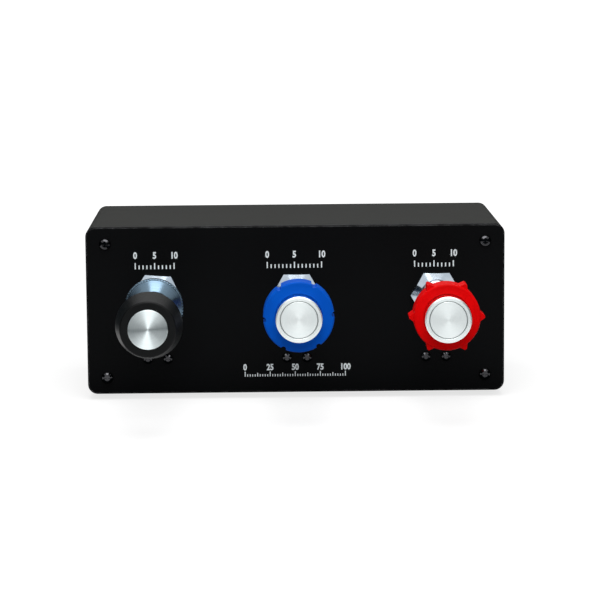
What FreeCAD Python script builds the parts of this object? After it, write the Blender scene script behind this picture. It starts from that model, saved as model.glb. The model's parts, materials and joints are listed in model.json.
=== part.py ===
import FreeCAD, Part

# Desktop throttle quadrant: a free-standing enclosure that carries three push-pull engine controls.
#
# Row frame, in millimetres: X to the right, Y away from the pilot, Z up.  The origin lies on the table,
# under the centre of the enclosure.  The front panel faces -Y.
#
# Each control is modelled in a frame of its own, the control frame: x to the right, y up and z out of
# the front panel's face towards the pilot.  Its origin is where the control's axis meets that face.

import math
import os

import Sketcher
from FreeCAD import Placement, Rotation, Vector

# ---------------------------------------------------------------------------------------------------
# Driving dimensions.  Lengths are in millimetres, angles in degrees.
# ---------------------------------------------------------------------------------------------------
SIZES = {
    # Enclosure and front panel
    "case_width": 216.0,
    "case_height": 87.0,
    "case_depth": 102.0,  # with the front panel
    "case_corner": 5.0,  # outside corner radius, seen from the front
    "case_wall": 2.5,
    "panel_thick": 3.0,
    "panel_bevel": 0.6,  # bevel round the panel's front edge
    "panel_screw_span_x": 195.8,
    "panel_screw_span_z": 69.6,
    "panel_screw_radius": 1.5,
    "panel_screw_length": 14.0,
    "panel_screw_head_radius": 3.0,
    "panel_screw_head_height": 2.0,
    "boss_radius": 4.5,
    "boss_length": 18.0,
    "screw_hole_gap": 0.2,  # radial room of a screw in a plain hole
    "thread_gap": 0.05,  # radial room of a screw in its thread
    "recess_width": 0.8,  # cross recess in the screw heads
    "foot_radius": 6.0,
    "foot_height": 3.0,
    "foot_inset_x": 20.0,
    "foot_inset_y": 28.0,
    # Where the three controls stand
    "axis_pitch": 72.0,
    "axis_shift": 0.5,  # middle control, to the right of the panel's centre
    "axis_rise": 7.3,  # above the panel's centre
    # Shared by the three controls
    "travel": 60.0,
    "stop_gap": 1.0,  # left between a knob that is fully in and what it would meet
    "shaft_radius": 4.75,
    "slide_gap": 0.05,  # radial room of a shaft, rod or button in its guide
    "thread_radius": 7.95,
    "thread_end": 11.0,  # front end of the thread, before the panel's face
    "panel_hole_gap": 0.15,
    "nut_flats": 23.0,
    "nut_thick": 7.5,
    "nut_face_radius": 8.6,  # small end of the nut's turned front
    "throttle_nut_turn": -4.0,
    "washer_radius": 11.5,
    "washer_thick": 1.0,
    "shoulder_radius": 10.5,
    "shoulder_thick": 3.0,
    "tail_radius": 7.0,
    "edge_bevel": 0.8,  # bevel on turned metal parts
    # Throttle: friction wheel, knob and its disc
    "throttle_nose_radius": 6.2,
    "throttle_nose_end": 38.0,
    "wheel_radius": 14.7,
    "wheel_rear": 36.0,
    "wheel_thick": 8.0,
    "wheel_web": 2.0,
    "wheel_bevel": 0.3,
    "wheel_hole_gap": 0.4,
    "knurl_count": 60,
    "knurl_depth": 0.5,
    "collet_slot": 1.0,
    "collet_end_gap": 0.2,
    "throttle_knob_front": 109.0,
    "throttle_knob_length": 31.0,
    "throttle_knob_radius": 16.3,
    "throttle_knob_face_radius": 13.4,
    "throttle_knob_flank": 14.0,  # tapered length from the widest place to the front
    "throttle_knob_tail_radius": 8.5,
    "throttle_knob_grip": 20.0,  # length of shaft inside the knob
    "knob_round": 1.5,
    "disc_radius": 9.55,
    "disc_thick": 1.5,
    "disc_proud": 0.3,
    "disc_gap": 0.08,
    # Propeller and mixture: vernier knobs, buttons and release rods
    "vernier_nose_radius": 7.2,
    "vernier_nose_end": 19.5,
    "prop_knob_front": 75.0,
    "mixture_knob_front": 80.0,
    "rim_thick": 13.0,
    "rim_round": 0.9,
    "prop_rim_radius": 17.4,
    "notch_count": 6,
    "notch_radius": 1.35,
    "notch_turn": 4.0,
    "mixture_rim_radius": 16.3,
    "ear_count": 6,
    "ear_tip_radius": 18.4,
    "ear_width": 5.6,
    "ear_tip_width": 1.0,
    "hub_length": 8.0,
    "hub_radius": 8.5,
    "hub_flare_radius": 12.0,
    "mouth_bevel": 0.5,  # round the mouth of the knob's bore
    "button_radius": 11.3,
    "button_length": 14.0,
    "button_proud": 8.7,
    "button_travel": 4.0,
    "button_end_gap": 0.2,
    "button_wall": 2.0,
    "button_face_thick": 3.0,
    "button_groove_radius": 9.1,
    "button_groove": 0.35,  # half width and depth of the ring turned into the face
    "button_bevel": 0.6,
    "button_boss_radius": 3.2,
    "button_boss_length": 4.0,
    "rod_radius": 1.5,
    "rod_end_room": 6.0,  # hollow shaft left behind the release rod
    "spring_radius": 6.2,
    "spring_wire": 0.5,
    "spring_turns": 6.0,
    "spring_seat_gap": 0.05,
    # Clips and couplings on the shafts
    "coupling_radius": 9.0,
    "coupling_length": 8.0,
    "arm_width": 6.0,
    "arm_drop": 13.0,
    "clip_radius": 7.0,
    "clip_thick": 0.8,
    "clip_side_gap": 0.2,
    "clip_groove_depth": 0.85,
    "clip_mouth": 6.0,
    "shaft_end_land": 1.5,
    # Slide potentiometers
    "pot_rear_gap": 1.5,  # to the enclosure's rear wall
    "pot_length": 80.0,
    "pot_width": 15.0,
    "pot_height": 8.0,
    "pot_top_drop": 14.5,
    "channel_width": 9.2,
    "channel_height": 3.8,
    "channel_roof": 2.9,
    "track_thick": 0.8,
    "lever_slot_width": 2.0,
    "lever_width": 1.2,
    "lever_length": 4.0,
    "lever_top_drop": 9.6,
    "wiper_width": 8.0,
    "wiper_length": 8.0,
    "slider_gap": 0.3,
    "end_room": 1.0,  # channel left past the slider at each end of the travel
    # Brackets that carry the potentiometers
    "bracket_thick": 1.5,
    "bracket_width": 18.0,
    "bracket_flange": 15.5,
    "bracket_end_gap": 1.0,  # to the enclosure's rear wall
    "bracket_screw_drop": 32.5,
    "bracket_screw_half_span": 5.2,
    "bracket_screw_radius": 1.25,
    "bracket_screw_head_radius": 2.5,
    "bracket_screw_head_height": 1.7,
    "bracket_screw_past_nut": 1.0,
    "bracket_nut_flats": 5.0,
    "bracket_nut_thick": 2.0,
    "pot_screw_radius": 1.0,
    "pot_screw_head_radius": 1.9,
    "pot_screw_head_height": 1.3,
    "pot_screw_bite": 4.0,
    "pot_screw_inset": 2.5,
    # Controller board and its socket
    "board_width": 46.0,
    "board_length": 40.0,
    "board_thick": 1.6,
    "board_back_gap": 2.5,  # to the rear wall
    "board_hole_inset": 4.0,
    "standoff_radius": 3.0,
    "standoff_height": 5.0,
    "board_screw_radius": 1.5,
    "board_screw_head_radius": 2.75,
    "board_screw_head_height": 2.0,
    "board_screw_bite": 3.5,
    "chip_size": 10.0,
    "chip_thick": 1.6,
    "socket_width": 12.0,
    "socket_height": 11.0,
    "socket_length": 16.3,
    "socket_wall": 0.4,
    "socket_proud": 0.3,  # past the rear wall
    "socket_hole_gap": 0.4,
    "insulator_gap": 0.05,
    "insulator_length": 15.0,
    "mouth_width": 8.5,
    "mouth_height": 7.8,
    "mouth_depth": 11.8,
    "tongue_width": 5.6,
    "tongue_height": 3.2,
    "tongue_length": 10.5,
    "header_width": 8.0,
    "header_length": 6.0,
    "header_height": 6.0,
    "header_gap": 1.25,  # between an outer header and the head of the screw beside it
    # Leads from the potentiometers to the board
    "lead_radius": 1.2,
    "lead_bend": 5.0,
    "lead_exit_drop": 3.5,  # below the top of the potentiometer
    "lead_loop_height": 8.0,  # above the header
    "lead_front_gap": 8.0,  # floor run, before the board's front edge
    "lead_floor_gap": 0.2,
}

# ---------------------------------------------------------------------------------------------------
# Places that follow from the driving dimensions.
# ---------------------------------------------------------------------------------------------------
PLACES = {
    # Row frame
    "front_y": "-Sizes.case_depth / 2",
    "rear_y": "Sizes.case_depth / 2",
    "tub_depth": "Sizes.case_depth - Sizes.panel_thick",
    "case_centre_z": "Sizes.foot_height + Sizes.case_height / 2",
    "floor_z": "Sizes.foot_height + Sizes.case_wall",
    "axis_z": "case_centre_z + Sizes.axis_rise",
    "throttle_x": "Sizes.axis_shift - Sizes.axis_pitch",
    "prop_x": "Sizes.axis_shift",
    "mixture_x": "Sizes.axis_shift + Sizes.axis_pitch",
    # Control frame, barrels
    "shoulder_front": "-Sizes.panel_thick - Sizes.washer_thick",
    "shoulder_rear": "shoulder_front - Sizes.shoulder_thick",
    "barrel_bore": "Sizes.shaft_radius + Sizes.slide_gap",
    "panel_hole_radius": "Sizes.thread_radius + Sizes.panel_hole_gap",
    # Control frame, how far each knob is from its stop
    "wheel_front": "Sizes.wheel_rear + Sizes.wheel_thick",
    "throttle_knob_rear": "Sizes.throttle_knob_front - Sizes.throttle_knob_length",
    "prop_knob_rear": "Sizes.prop_knob_front - Sizes.rim_thick - Sizes.hub_length",
    "mixture_knob_rear": "Sizes.mixture_knob_front - Sizes.rim_thick - Sizes.hub_length",
    "throttle_push": "throttle_knob_rear - wheel_front - Sizes.stop_gap",
    "prop_push": "prop_knob_rear - Sizes.vernier_nose_end - Sizes.stop_gap",
    "mixture_push": "mixture_knob_rear - Sizes.vernier_nose_end - Sizes.stop_gap",
    # Control frame, where each coupling stands
    "pot_centre": "Sizes.case_depth - Sizes.case_wall - Sizes.pot_rear_gap - Sizes.pot_length / 2",
    "coupling_full_in": "-pot_centre - Sizes.travel / 2",
    "throttle_coupling_z": "coupling_full_in + throttle_push",
    "prop_coupling_z": "coupling_full_in + prop_push",
    "mixture_coupling_z": "coupling_full_in + mixture_push",
    "clip_offset": "Sizes.coupling_length / 2 + Sizes.clip_side_gap",
    "tail_end": "pot_centre - Sizes.travel / 2 - clip_offset - Sizes.clip_thick - Sizes.stop_gap",
    "shaft_overhang": "clip_offset + Sizes.clip_thick + Sizes.shaft_end_land",
    "groove_radius": "Sizes.shaft_radius - Sizes.clip_groove_depth",
    # Control frame, vernier knob and button
    "button_bore": "Sizes.button_radius + Sizes.slide_gap",
    "button_depth": "Sizes.button_length - Sizes.button_proud",
    "knob_bore_depth": "button_depth + Sizes.button_travel + Sizes.button_end_gap",
    "rod_bore": "Sizes.rod_radius + Sizes.slide_gap",
    # Control frame, potentiometer and bracket: heights below the axis
    "pot_bottom": "-Sizes.pot_top_drop - Sizes.pot_height",
    "channel_top": "-Sizes.pot_top_drop - Sizes.channel_roof",
    "channel_bottom": "channel_top - Sizes.channel_height",
    "channel_length": "Sizes.travel + Sizes.wiper_length + 2 * Sizes.end_room",
    "shelf_bottom": "pot_bottom - Sizes.bracket_thick",
    "shelf_end": "-Sizes.case_depth + Sizes.case_wall + Sizes.bracket_end_gap",
    "pot_screw_step": "Sizes.pot_length / 2 - Sizes.pot_screw_inset",
    # Row frame, board and socket
    "board_x": "(throttle_x + prop_x) / 2",
    "board_top": "floor_z + Sizes.standoff_height + Sizes.board_thick",
    "board_rear": "rear_y - Sizes.case_wall - Sizes.board_back_gap",
    "board_front": "board_rear - Sizes.board_length",
    "socket_rear": "rear_y + Sizes.socket_proud",
    "header_y": "board_front + Sizes.header_length",
    "header_reach": "Sizes.board_width / 2 - Sizes.board_hole_inset - Sizes.board_screw_head_radius",
    "header_pitch": "header_reach - Sizes.header_gap - Sizes.header_width / 2",
    "header_top": "board_top + Sizes.header_height",
    "lead_exit_z": "axis_z - Sizes.pot_top_drop - Sizes.lead_exit_drop",
}

doc = FreeCAD.newDocument("ThrottleQuadrant")


def fill_sheet(name, cells, formulas=False):
    """A spreadsheet with one named cell per size, and the name written beside it."""
    sheet = doc.addObject("Spreadsheet::Sheet", name)
    for line, (alias, content) in enumerate(cells.items(), start=1):
        sheet.set(f"A{line}", alias.replace("_", " "))
        sheet.set(f"B{line}", f"={content}" if formulas else str(content))
        sheet.setAlias(f"B{line}", alias)
    doc.recompute()
    return sheet


sizes_sheet = fill_sheet("Sizes", SIZES)
places_sheet = fill_sheet("Places", PLACES, formulas=True)


def value(expression):
    """The number that an expression over the two sheets stands for."""
    return float(places_sheet.evalExpression(str(expression)))


# ---------------------------------------------------------------------------------------------------
# Helpers: bound primitives, sketches and placements.
# ---------------------------------------------------------------------------------------------------
TO_PILOT = Rotation(Vector(1, 0, 0), 90)  # turns the control frame's z to the row's -Y
nodes = []


def bind(item, **expressions):
    """Bind properties of an object to expressions; a double underscore stands for a dot."""
    for name, expression in expressions.items():
        item.setExpression(name.replace("__", "."), str(expression))
    return item


def place(item, x="0", y="0", z="0", rotation=None):
    """Set an object's rotation, and bind its position."""
    if rotation is not None:
        item.Placement = Placement(Vector(0, 0, 0), rotation)
    return bind(item, Placement__Base__x=x, Placement__Base__y=y, Placement__Base__z=z)


def node(item, label, x="0", y="0", z="0", rotation=None):
    """Finish a sub-part: its label, its place in the row frame, and its entry in the list of nodes."""
    item.Label = label
    place(item, x, y, z, rotation)
    nodes.append(item)
    return item


def control_node(item, label, control, turn=0.0, height="0"):
    """Finish a sub-part that was modelled in a control's frame, turned about the control's axis."""
    rotation = TO_PILOT.multiply(Rotation(Vector(0, 0, 1), turn))
    return node(item, label, f"Places.{control}_x", f"Places.front_y - ({height})", "Places.axis_z", rotation)


def box(name, x, y, z):
    """A box between bound limits, given as (low, high) on each axis."""
    item = doc.addObject("Part::Box", name)
    bind(item, Length=f"({x[1]}) - ({x[0]})", Width=f"({y[1]}) - ({y[0]})", Height=f"({z[1]}) - ({z[0]})")
    return place(item, x[0], y[0], z[0])


def across(centre, width):
    """The (low, high) limits of a width about a centre."""
    return (f"{centre} - ({width}) / 2", f"{centre} + ({width}) / 2")


def alone(name, item):
    """A sub-part made of one primitive: it keeps its own place inside the sub-part's frame."""
    holder = doc.addObject("Part::Compound", name)
    holder.Links = [item]
    return holder


def rod(name, radius, low, high, x="0", y="0"):
    """A cylinder along z, between two bound heights."""
    item = doc.addObject("Part::Cylinder", name)
    bind(item, Radius=radius, Height=f"({high}) - ({low})")
    return place(item, x, y, low)


def cut(name, base, *tools):
    """The base without the tools."""
    for count, tool in enumerate(tools):
        item = doc.addObject("Part::Cut", f"{name}_{count}")
        item.Base = base
        item.Tool = tool
        base = item
    return base


def fuse(name, *shapes):
    """Several shapes joined into one."""
    item = doc.addObject("Part::MultiFuse", name)
    item.Shapes = list(shapes)
    return item


def plane(body, role):
    """One of the body's own origin planes."""
    return next(item for item in body.Origin.OriginFeatures if item.Role == role)


def new_sketch(body, name, role, offset=None):
    """A sketch on one of the body's origin planes, moved along the plane's normal by an expression."""
    sketch = body.newObject("Sketcher::SketchObject", name)
    sketch.AttachmentSupport = (plane(body, role), [""])
    sketch.MapMode = "FlatFace"
    if offset is not None:
        bind(sketch, AttachmentOffset__Base__z=offset)
    return sketch


def hold_point(sketch, geometry, corner, x, y):
    """Hold one point of the geometry at bound coordinates."""
    for axis, kind, expression in ((-2, "DistanceX", str(x)), (-1, "DistanceY", str(y))):
        if expression == "0":
            sketch.addConstraint(Sketcher.Constraint("PointOnObject", geometry, corner, axis))
            continue
        constraint = Sketcher.Constraint(kind, -1, 1, geometry, corner, value(expression))
        index = sketch.addConstraint(constraint)
        sketch.setExpression(f"Constraints[{index}]", expression)


def add_outline(sketch, corners):
    """A closed outline of straight edges through bound corners."""
    first = sketch.GeometryCount
    points = [Vector(value(x), value(y), 0) for x, y in corners]
    count = len(points)
    for index in range(count):
        sketch.addGeometry(Part.LineSegment(points[index], points[(index + 1) % count]), False)
    for index in range(count):
        following = first + (index + 1) % count
        sketch.addConstraint(Sketcher.Constraint("Coincident", first + index, 2, following, 1))
    for index, (x, y) in enumerate(corners):
        hold_point(sketch, first + index, 1, x, y)


def add_circle(sketch, radius, x="0", y="0"):
    """A circle with a bound radius and centre."""
    circle = Part.Circle(Vector(value(x), value(y), 0), Vector(0, 0, 1), value(radius))
    index = sketch.addGeometry(circle, False)
    if (str(x), str(y)) == ("0", "0"):
        sketch.addConstraint(Sketcher.Constraint("Coincident", index, 3, -1, 1))
    else:
        hold_point(sketch, index, 3, x, y)
    constraint = sketch.addConstraint(Sketcher.Constraint("Radius", index, value(radius)))
    sketch.setExpression(f"Constraints[{constraint}]", str(radius))


def add_rectangle(sketch, x, y):
    """A rectangle between bound limits."""
    add_outline(sketch, [(x[0], y[0]), (x[1], y[0]), (x[1], y[1]), (x[0], y[1])])


def add_rounded_rectangle(sketch, width, height, radius):
    """A rectangle about the sketch's origin, with equal rounded corners."""
    half_w = value(width) / 2
    half_h = value(height) / 2
    bend = value(radius)
    quarter = math.pi / 2
    # Each side runs clockwise into the corner that follows it.
    sides = [
        ((bend - half_w, half_h), (half_w - bend, half_h), (half_w - bend, half_h - bend), 0),
        ((half_w, half_h - bend), (half_w, bend - half_h), (half_w - bend, bend - half_h), 3),
        ((half_w - bend, -half_h), (bend - half_w, -half_h), (bend - half_w, bend - half_h), 2),
        ((-half_w, bend - half_h), (-half_w, half_h - bend), (bend - half_w, half_h - bend), 1),
    ]
    for start, end, centre, turns in sides:
        sketch.addGeometry(Part.LineSegment(Vector(*start, 0), Vector(*end, 0)), False)
        circle = Part.Circle(Vector(*centre, 0), Vector(0, 0, 1), bend)
        arc = Part.ArcOfCircle(circle, turns * quarter, (turns + 1) * quarter)
        sketch.addGeometry(arc, False)
    for side in range(4):
        line, corner, following = 2 * side, 2 * side + 1, (2 * side + 2) % 8
        sketch.addConstraint(Sketcher.Constraint("Tangent", line, 2, corner, 2))
        sketch.addConstraint(Sketcher.Constraint("Tangent", corner, 1, following, 1))
        direction = "Horizontal" if side % 2 == 0 else "Vertical"
        sketch.addConstraint(Sketcher.Constraint(direction, line))
    for corner in (3, 5, 7):
        sketch.addConstraint(Sketcher.Constraint("Equal", 1, corner))
    sketch.addConstraint(Sketcher.Constraint("Symmetric", 0, 1, 4, 1, -1, 1))
    sizes = (
        (Sketcher.Constraint("Radius", 1, bend), radius),
        (Sketcher.Constraint("DistanceX", 6, 1, 2, 1, 2 * half_w), width),
        (Sketcher.Constraint("DistanceY", 4, 1, 0, 1, 2 * half_h), height),
    )
    for constraint, expression in sizes:
        index = sketch.addConstraint(constraint)
        sketch.setExpression(f"Constraints[{index}]", str(expression))


def new_body(name):
    """An empty body for one sub-part."""
    return doc.addObject("PartDesign::Body", name)


def pad(body, sketch, length, reverse=False, symmetric=False):
    """Add material from a sketch."""
    feature = body.newObject("PartDesign::Pad", f"{sketch.Name}_pad")
    feature.Profile = sketch
    feature.Reversed = reverse
    feature.Midplane = symmetric
    return bind(feature, Length=length)


def pocket(body, sketch, length=None, reverse=False):
    """Cut material from a sketch: to a bound depth, or right through."""
    doc.recompute()
    before = body.Shape.Volume
    feature = body.newObject("PartDesign::Pocket", f"{sketch.Name}_pocket")
    feature.Profile = sketch
    feature.Reversed = reverse
    if length is None:
        feature.Type = "ThroughAll"
    else:
        bind(feature, Length=length)
    doc.recompute()
    if feature.Shape.Volume >= before:
        raise ValueError(f"{feature.Name} removes nothing")
    return feature


def turned(name, outline):
    """A body turned about z, from an outline of (radius, height) corners."""
    body = new_body(name)
    sketch = new_sketch(body, f"{name}_outline", "XZ_Plane")
    add_outline(sketch, outline)
    feature = body.newObject("PartDesign::Revolution", f"{name}_turned")
    feature.Profile = sketch
    feature.ReferenceAxis = (sketch, ["V_Axis"])
    feature.Angle = 360
    return body


def around(body, feature, sketch, count):
    """Repeat a feature evenly about the sketch's normal."""
    pattern = body.newObject("PartDesign::PolarPattern", f"{feature.Name}_pattern")
    pattern.Originals = [feature]
    pattern.Axis = (sketch, ["N_Axis"])
    pattern.Angle = 360
    bind(pattern, Occurrences=count)
    body.Tip = pattern
    return pattern


def round_edges(body, radius, *circles):
    """Round the circular edges that have a given radius and height, each an expression."""
    doc.recompute()
    base = body.Tip
    names = []
    for index, edge in enumerate(base.Shape.Edges, start=1):
        curve = edge.Curve
        if not isinstance(curve, Part.Circle):
            continue
        for edge_radius, height in circles:
            close = abs(curve.Radius - value(edge_radius)) < 0.01
            if close and abs(curve.Center.z - value(height)) < 0.01:
                names.append(f"Edge{index}")
    feature = body.newObject("PartDesign::Fillet", f"{base.Name}_round")
    feature.Base = (base, names)
    return bind(feature, Radius=radius)


def repeated(label, original, places):
    """One node that holds a copy of the original at each place: (x, y, z, rotation) in the row frame."""
    copies = []
    for count, (x, y, z, rotation) in enumerate(places):
        copy = doc.addObject("App::Link", f"{label}_{count}")
        copy.LinkedObject = original
        place(copy, x, y, z, rotation)
        copies.append(copy)
    group = doc.addObject("Part::Compound", label)
    group.Links = copies
    return node(group, label)


def pan_screw(name, radius, length, head_radius, head_height):
    """A pan-head screw along z: the shank goes down from z = 0, the domed head stands on it."""
    head = turned(f"{name}_head", [
        ("0", "0"),
        (head_radius, "0"),
        (head_radius, f"{head_height} * 0.45"),
        (f"{head_radius} * 0.85", f"{head_height} * 0.8"),
        (f"{head_radius} * 0.5", head_height),
        ("0", head_height),
    ])
    shank = rod(f"{name}_shank", radius, f"-({length})", f"{head_height} * 0.3")
    solid = fuse(f"{name}_solid", head, shank)
    reach = f"{head_radius} * 1.15"
    depth = (f"{head_height} * 0.4", f"{head_height} * 1.5")
    slot_x = box(f"{name}_slot_x", across("0", reach), across("0", "Sizes.recess_width"), depth)
    slot_y = box(f"{name}_slot_y", across("0", "Sizes.recess_width"), across("0", reach), depth)
    return cut(name, solid, slot_x, slot_y)


def hexagon(name, flats, low, high):
    """A hexagonal bar along z with a flat on top."""
    item = doc.addObject("Part::Prism", name)
    item.Polygon = 6
    bind(item, Circumradius=f"{flats} / sqrt(3)", Height=f"({high}) - ({low})")
    return place(item, "0", "0", low)


CONTROLS = ("throttle", "prop", "mixture")
VERNIERS = ("prop", "mixture")
UPRIGHT = Rotation()
FROM_BELOW = Rotation(Vector(1, 0, 0), 180)  # a screw driven upwards


# ---------------------------------------------------------------------------------------------------
# Enclosure: a tub that is open towards the pilot, the panel that closes it, screws and feet.
# ---------------------------------------------------------------------------------------------------
def signs():
    """The four corners of a rectangle, as signs of x and z."""
    return [(x, z) for x in (-1, 1) for z in (-1, 1)]


def make_enclosure():
    """The tub: side walls and rear wall in one, with a boss in each corner for the panel's screws."""
    body = new_body("Enclosure")
    outer = new_sketch(body, "tub_outside", "XZ_Plane")
    add_rounded_rectangle(outer, "Sizes.case_width", "Sizes.case_height", "Sizes.case_corner")
    pad(body, outer, "Places.tub_depth")

    inner = new_sketch(body, "tub_inside", "XZ_Plane", "Sizes.case_wall")
    width = "Sizes.case_width - 2 * Sizes.case_wall"
    height = "Sizes.case_height - 2 * Sizes.case_wall"
    add_rounded_rectangle(inner, width, height, "Sizes.case_corner - Sizes.case_wall")
    pocket(body, inner, reverse=True)

    # Each boss is a block that fills the corner between the screw and the walls.
    for count, (side, level) in enumerate(signs()):
        boss = new_sketch(body, f"boss_{count}", "XZ_Plane", "Places.tub_depth - Sizes.boss_length")
        near_x = f"{side} * (Sizes.panel_screw_span_x / 2 - Sizes.boss_radius)"
        near_z = f"{level} * (Sizes.panel_screw_span_z / 2 - Sizes.boss_radius)"
        far_x = f"{side} * (Sizes.case_width / 2 - Sizes.case_wall / 2)"
        far_z = f"{level} * (Sizes.case_height / 2 - Sizes.case_corner)"
        top_x = f"{side} * (Sizes.case_width / 2 - Sizes.case_corner)"
        top_z = f"{level} * (Sizes.case_height / 2 - Sizes.case_wall / 2)"
        add_outline(boss, [
            (near_x, near_z), (far_x, near_z), (far_x, far_z), (top_x, top_z), (near_x, top_z),
        ])
        pad(body, boss, "Sizes.boss_length")

    threads = new_sketch(body, "panel_screw_threads", "XZ_Plane", "Places.tub_depth")
    for side, level in signs():
        x = f"{side} * Sizes.panel_screw_span_x / 2"
        z = f"{level} * Sizes.panel_screw_span_z / 2"
        add_circle(threads, "Sizes.panel_screw_radius + Sizes.thread_gap", x, z)
    pocket(body, threads, "Sizes.panel_screw_length")

    window = new_sketch(body, "socket_window", "XZ_Plane")
    level = "Places.board_top - Places.case_centre_z + Sizes.socket_height / 2"
    add_rectangle(
        window,
        across("Places.board_x", "Sizes.socket_width + 2 * Sizes.socket_hole_gap"),
        across(level, "Sizes.socket_height + 2 * Sizes.socket_hole_gap"),
    )
    pocket(body, window, "Sizes.case_wall * 1.5", reverse=True)
    node(body, "enclosure_body", "0", "Places.rear_y", "Places.case_centre_z")


def make_panel():
    """The front panel, bored for the three barrels, the bracket screws and its own screws."""
    body = new_body("Panel")
    outline = new_sketch(body, "panel_outline", "XZ_Plane")
    add_rounded_rectangle(outline, "Sizes.case_width", "Sizes.case_height", "Sizes.case_corner")
    plate = pad(body, outline, "Sizes.panel_thick")
    doc.recompute()
    faces = plate.Shape.Faces
    front = min(range(len(faces)), key=lambda index: faces[index].CenterOfMass.y)
    bevel = body.newObject("PartDesign::Chamfer", "panel_bevel_edge")
    bevel.Base = (plate, [f"Face{front + 1}"])
    bind(bevel, Size="Sizes.panel_bevel")

    holes = new_sketch(body, "panel_holes", "XZ_Plane", "Sizes.panel_thick")
    for side, level in signs():
        x = f"{side} * Sizes.panel_screw_span_x / 2"
        z = f"{level} * Sizes.panel_screw_span_z / 2"
        add_circle(holes, "Sizes.panel_screw_radius + Sizes.screw_hole_gap", x, z)
    for control in CONTROLS:
        add_circle(holes, "Places.panel_hole_radius", f"Places.{control}_x", "Sizes.axis_rise")
        for side in (-1, 1):
            x = f"Places.{control}_x + {side} * Sizes.bracket_screw_half_span"
            z = "Sizes.axis_rise - Sizes.bracket_screw_drop"
            add_circle(holes, "Sizes.bracket_screw_radius + Sizes.screw_hole_gap", x, z)
    pocket(body, holes)
    node(body, "front_panel", "0", "Places.front_y + Sizes.panel_thick", "Places.case_centre_z")


def make_panel_screws():
    """Four pan-head screws, one in each corner of the panel."""
    screw = pan_screw(
        "panel_screw", "Sizes.panel_screw_radius", "Sizes.panel_screw_length",
        "Sizes.panel_screw_head_radius", "Sizes.panel_screw_head_height",
    )
    places = []
    for side, level in signs():
        x = f"{side} * Sizes.panel_screw_span_x / 2"
        z = f"Places.case_centre_z + {level} * Sizes.panel_screw_span_z / 2"
        places.append((x, "Places.front_y", z, TO_PILOT))
    repeated("panel_screws", screw, places)


def make_feet():
    """Four rubber bumpers under the floor, a little narrower where they meet the table."""
    foot = turned("foot", [
        ("0", "0"),
        ("Sizes.foot_radius * 0.85", "0"),
        ("Sizes.foot_radius", "Sizes.foot_height"),
        ("0", "Sizes.foot_height"),
    ])
    places = []
    for side, depth in signs():
        x = f"{side} * (Sizes.case_width / 2 - Sizes.foot_inset_x)"
        y = f"{depth} * (Sizes.case_depth / 2 - Sizes.foot_inset_y)"
        places.append((x, y, "0", UPRIGHT))
    repeated("rubber_feet", foot, places)


# ---------------------------------------------------------------------------------------------------
# What holds the controls in the panel: barrels, nuts and lock washers.
# ---------------------------------------------------------------------------------------------------
def make_barrel(control, nose_radius, nose_end):
    """A bushing with a shoulder behind the panel, a thread through it and a plain nose before it."""
    barrel = turned(f"{control}_barrel_body", [
        ("Places.barrel_bore", "-Places.tail_end"),
        ("Sizes.tail_radius", "-Places.tail_end"),
        ("Sizes.tail_radius", "Places.shoulder_rear"),
        ("Sizes.shoulder_radius", "Places.shoulder_rear"),
        ("Sizes.shoulder_radius", "Places.shoulder_front"),
        ("Sizes.thread_radius", "Places.shoulder_front"),
        ("Sizes.thread_radius", "Sizes.thread_end"),
        (nose_radius, f"Sizes.thread_end + Sizes.thread_radius - {nose_radius}"),
        (nose_radius, f"{nose_end} - Sizes.edge_bevel"),
        (f"{nose_radius} - Sizes.edge_bevel", nose_end),
        ("Places.barrel_bore", nose_end),
    ])
    control_node(barrel, f"{control}_barrel", control)


def make_panel_nut(control, turn):
    """A hexagon nut in front of the panel, its whole front turned back at 30 degrees."""
    name = f"{control}_nut_shape"
    blank = hexagon(f"{name}_blank", "Sizes.nut_flats", "0", "Sizes.nut_thick")
    cone = doc.addObject("Part::Cone", f"{name}_cone")
    wide = "Sizes.nut_face_radius + Sizes.nut_thick * sqrt(3)"
    bind(cone, Radius1=wide, Radius2="Sizes.nut_face_radius", Height="Sizes.nut_thick")
    turned_blank = doc.addObject("Part::Common", f"{name}_bevelled")
    turned_blank.Base = blank
    turned_blank.Tool = cone
    bore = rod(f"{name}_bore", "Sizes.thread_radius + Sizes.thread_gap", "-1", "Sizes.nut_thick + 1")
    control_node(cut(name, turned_blank, bore), f"{control}_nut", control, turn)


def make_lock_washers():
    """A plain ring behind the panel on each barrel."""
    ring = cut(
        "lock_washer",
        rod("lock_washer_disc", "Sizes.washer_radius", "Places.shoulder_front", "-Sizes.panel_thick"),
        rod("lock_washer_hole", "Places.panel_hole_radius", "Places.shoulder_front - 1", "0"),
    )
    places = [(f"Places.{control}_x", "Places.front_y", "Places.axis_z", TO_PILOT) for control in CONTROLS]
    repeated("barrel_lock_washers", ring, places)


# ---------------------------------------------------------------------------------------------------
# Shafts, their clips, and the couplings that drive the potentiometers.
# ---------------------------------------------------------------------------------------------------
def shaft_outline(coupling, front, bore):
    """Half section of a shaft: two clip grooves near the rear end, one each side of the coupling."""
    rear = f"{coupling} - Places.shaft_overhang"
    outline = [
        (bore, rear),
        ("Sizes.shaft_radius - Sizes.clip_side_gap", rear),
        ("Sizes.shaft_radius", f"{rear} + Sizes.clip_side_gap"),
    ]
    low = f"{coupling} - Places.clip_offset - Sizes.clip_thick"
    for start in (low, f"{coupling} + Places.clip_offset"):
        end = f"{start} + Sizes.clip_thick"
        outline += [
            ("Sizes.shaft_radius", start),
            ("Places.groove_radius", start),
            ("Places.groove_radius", end),
            ("Sizes.shaft_radius", end),
        ]
    return outline + [("Sizes.shaft_radius", front), (bore, front)]


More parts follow.
